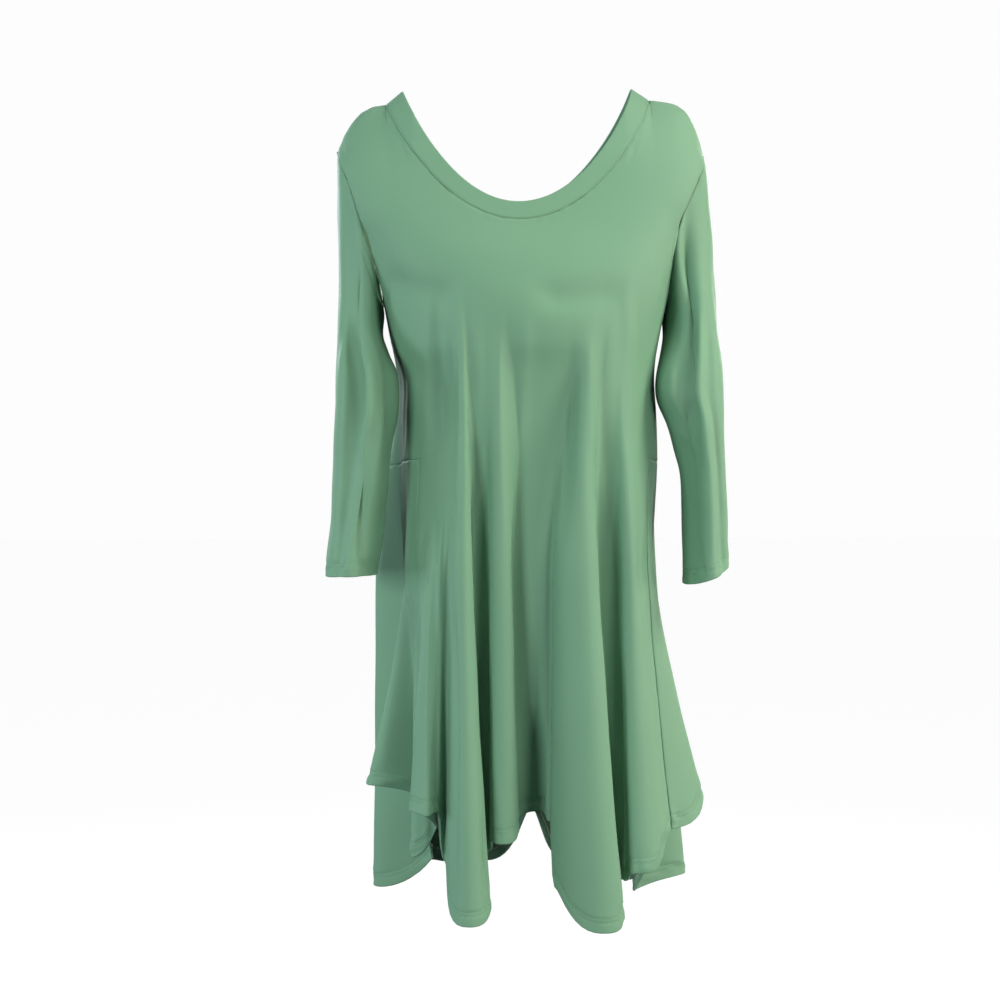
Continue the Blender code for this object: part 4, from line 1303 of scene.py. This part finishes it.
# ---- stage ---------------------------------------------------------------------------
VIEW_CENTRE = (-0.0264, 0.0, -0.4345)      # where the camera's line of sight meets the tunic
FRAME_WIDTH = 1.1                          # metres across the frame, at the tunic
SENSOR = 36.0
LIT_CENTRE = (0.0, 0.0, -0.5)
ROOM_COLOUR, WALL_COLOUR = "#e4e6ff", "#fdfdfd"
SOFTBOX_SIZE = 0.9
SOFTBOX_DISTANCE = 3.0
FLOOR_HALF = 40.0                          # so far out that its edge never shows

# Softboxes round the tunic: azimuth from straight ahead towards the viewer's right, and
# power as a multiple of its group's.
Softbox = namedtuple("Softbox", "name azimuth elevation group share colour")
SOFTBOXES = table(
    Softbox,
    ("right_high", 75.0, 40.0, "right_power", 0.38, "#fffbe8"),
    ("right_key", 36.0, 4.0, "right_power", 0.26, "#fffdf6"),
    ("right_low", 62.0, 4.0, "right_power", 0.24, "#fff3ea"),
    ("right_back", 105.0, 0.0, "right_power", 0.12, "#fff3e0"),
    ("left_key", -44.0, 4.0, "left_power", 0.58, "#f4feff"),
    ("left_high", -75.0, 40.0, "left_power", 0.20, "#f6fff2"),
    ("left_back", -92.0, 0.0, "left_power", 0.36, "#e8f4ff"),
    ("top", 0.0, 75.0, "top_power", 1.00, "#ffffff"),
    ("behind_right", 150.0, 20.0, "behind_power", 0.50, "#fffdf6"),
    ("behind_left", -150.0, 20.0, "behind_power", 0.50, "#f4feff"),
)


def make_floor(stage):
    """A wide sheet of background paper that casts no light on the tunic."""
    paper = material_once("background_paper", matt_paper, stage.paper_colour)
    data = bpy.data.meshes.new("floor")
    corners = [(x * FLOOR_HALF, y * FLOOR_HALF, stage.floor_height)
               for x, y in ((-1, -1), (1, -1), (1, 1), (-1, 1))]
    data.from_pydata(corners, [], [(0, 1, 2, 3)])
    data.materials.append(paper)
    floor = linked_object("floor", data)
    floor.visible_diffuse = False
    floor.visible_glossy = False


def make_camera(stage):
    """A camera level with the tunic's middle."""
    data = bpy.data.cameras.new("camera")
    data.sensor_width = SENSOR
    data.lens = SENSOR * stage.camera_distance / FRAME_WIDTH
    camera = linked_object("camera", data)
    ahead = Vector((math.sin(stage.camera_turn), math.cos(stage.camera_turn), 0.0))
    camera.location = Vector(VIEW_CENTRE) - ahead * stage.camera_distance
    camera.rotation_euler = (math.pi / 2.0, 0.0, -stage.camera_turn)
    bpy.context.scene.camera = camera


def compass(azimuth, elevation):
    """A direction: azimuth in degrees from straight ahead of the tunic towards the right."""
    a, e = math.radians(azimuth), math.radians(elevation)
    return Vector((math.sin(a) * math.cos(e), -math.cos(a) * math.cos(e), math.sin(e)))


def add_softbox(name, direction, power, colour):
    """A square softbox that faces the tunic's middle from the given direction."""
    data = bpy.data.lights.new(name, "AREA")
    data.size = SOFTBOX_SIZE
    data.energy = power
    data.color = colour
    light = linked_object(name, data)
    light.location = Vector(LIT_CENTRE) + direction * SOFTBOX_DISTANCE
    light.rotation_euler = (-direction).to_track_quat("-Z", "Y").to_euler()


def make_world(stage):
    """An even pale room. What the camera sees of it directly is brighter than its light."""
    world = bpy.data.worlds.new("room")
    world.use_nodes = True
    tree = world.node_tree
    tree.nodes.clear()
    room = add_node(tree, "ShaderNodeBackground", inputs={
        "Color": (*linear(ROOM_COLOUR), 1.0), "Strength": stage.sky})
    wall = add_node(tree, "ShaderNodeBackground", inputs={
        "Color": (*linear(WALL_COLOUR), 1.0), "Strength": 1.0})
    ray = add_node(tree, "ShaderNodeLightPath")
    choice = add_node(tree, "ShaderNodeMixShader", inputs={0: ray.outputs["Is Camera Ray"]})
    tree.links.new(room.outputs["Background"], choice.inputs[1])
    tree.links.new(wall.outputs["Background"], choice.inputs[2])
    add_node(tree, "ShaderNodeOutputWorld", inputs={"Surface": choice.outputs["Shader"]})
    bpy.context.scene.world = world


# ---- operators -----------------------------------------------------------------------
class TUNIC_OT_body(bpy.types.Operator):
    """Build the front and the back"""
    bl_idname = "tunic.body"
    bl_label = "Front and back"

    def execute(self, context):
        make_body(context.scene.tunic_cloth)
        return {"FINISHED"}


class TUNIC_OT_side_panels(bpy.types.Operator):
    """Build the four side panels of the skirt"""
    bl_idname = "tunic.side_panels"
    bl_label = "Side panels"

    def execute(self, context):
        make_side_panels(context.scene.tunic_cloth)
        return {"FINISHED"}


class TUNIC_OT_sleeves(bpy.types.Operator):
    """Build both sleeves"""
    bl_idname = "tunic.sleeves"
    bl_label = "Sleeves"

    def execute(self, context):
        for side in SIDES:
            make_sleeve(side, context.scene.tunic_cloth)
        return {"FINISHED"}


class TUNIC_OT_neckband(bpy.types.Operator):
    """Build the folded neckband"""
    bl_idname = "tunic.neckband"
    bl_label = "Neckband"

    def execute(self, context):
        make_neckband(context.scene.tunic_cloth)
        return {"FINISHED"}


class TUNIC_OT_sewing(bpy.types.Operator):
    """Sew the hems and overlock their raw edges"""
    bl_idname = "tunic.sewing"
    bl_label = "Sewing"

    def execute(self, context):
        make_stitching(context.scene.tunic_cloth)
        make_overlock(context.scene.tunic_cloth)
        return {"FINISHED"}


class TUNIC_OT_stage(bpy.types.Operator):
    """Set up the floor, room, lights and camera"""
    bl_idname = "tunic.stage"
    bl_label = "Stage"

    def execute(self, context):
        stage = context.scene.tunic_stage
        make_floor(stage)
        make_world(stage)
        make_camera(stage)
        for box in SOFTBOXES:
            power = getattr(stage, box.group) * box.share
            add_softbox(box.name, compass(box.azimuth, box.elevation), power, linear(box.colour))
        context.scene.view_settings.view_transform = "Standard"
        return {"FINISHED"}


class TUNIC_PT_panel(bpy.types.Panel):
    """Sizes, colours and steps of the tunic"""
    bl_idname = "TUNIC_PT_panel"
    bl_label = "Tunic"
    bl_space_type = "VIEW_3D"
    bl_region_type = "UI"
    bl_category = "Tunic"

    def draw(self, context):
        layout = self.layout
        for group in (context.scene.tunic_cloth, context.scene.tunic_stage):
            box = layout.box()
            for name in group.bl_rna.properties.keys():
                if name not in ("rna_type", "name"):
                    box.prop(group, name)
        for operator in OPERATORS:
            layout.operator(operator.bl_idname)


OPERATORS = (TUNIC_OT_body, TUNIC_OT_side_panels, TUNIC_OT_sleeves, TUNIC_OT_neckband,
             TUNIC_OT_sewing, TUNIC_OT_stage)
CLASSES = (TunicCloth, TunicStage, *OPERATORS, TUNIC_PT_panel)


def register():
    for cls in CLASSES:
        bpy.utils.register_class(cls)
    bpy.types.Scene.tunic_cloth = bpy.props.PointerProperty(type=TunicCloth)
    bpy.types.Scene.tunic_stage = bpy.props.PointerProperty(type=TunicStage)


def unregister():
    del bpy.types.Scene.tunic_stage
    del bpy.types.Scene.tunic_cloth
    for cls in reversed(CLASSES):
        bpy.utils.unregister_class(cls)


def write_sizes():
    """Updates the view layer."""
    bpy.context.view_layer.update()


def main():
    register()
    bpy.ops.tunic.body()
    bpy.ops.tunic.side_panels()
    bpy.ops.tunic.sleeves()
    bpy.ops.tunic.neckband()
    bpy.ops.tunic.sewing()
    bpy.ops.tunic.stage()
    write_sizes()


if __name__ == "__main__":
    main()
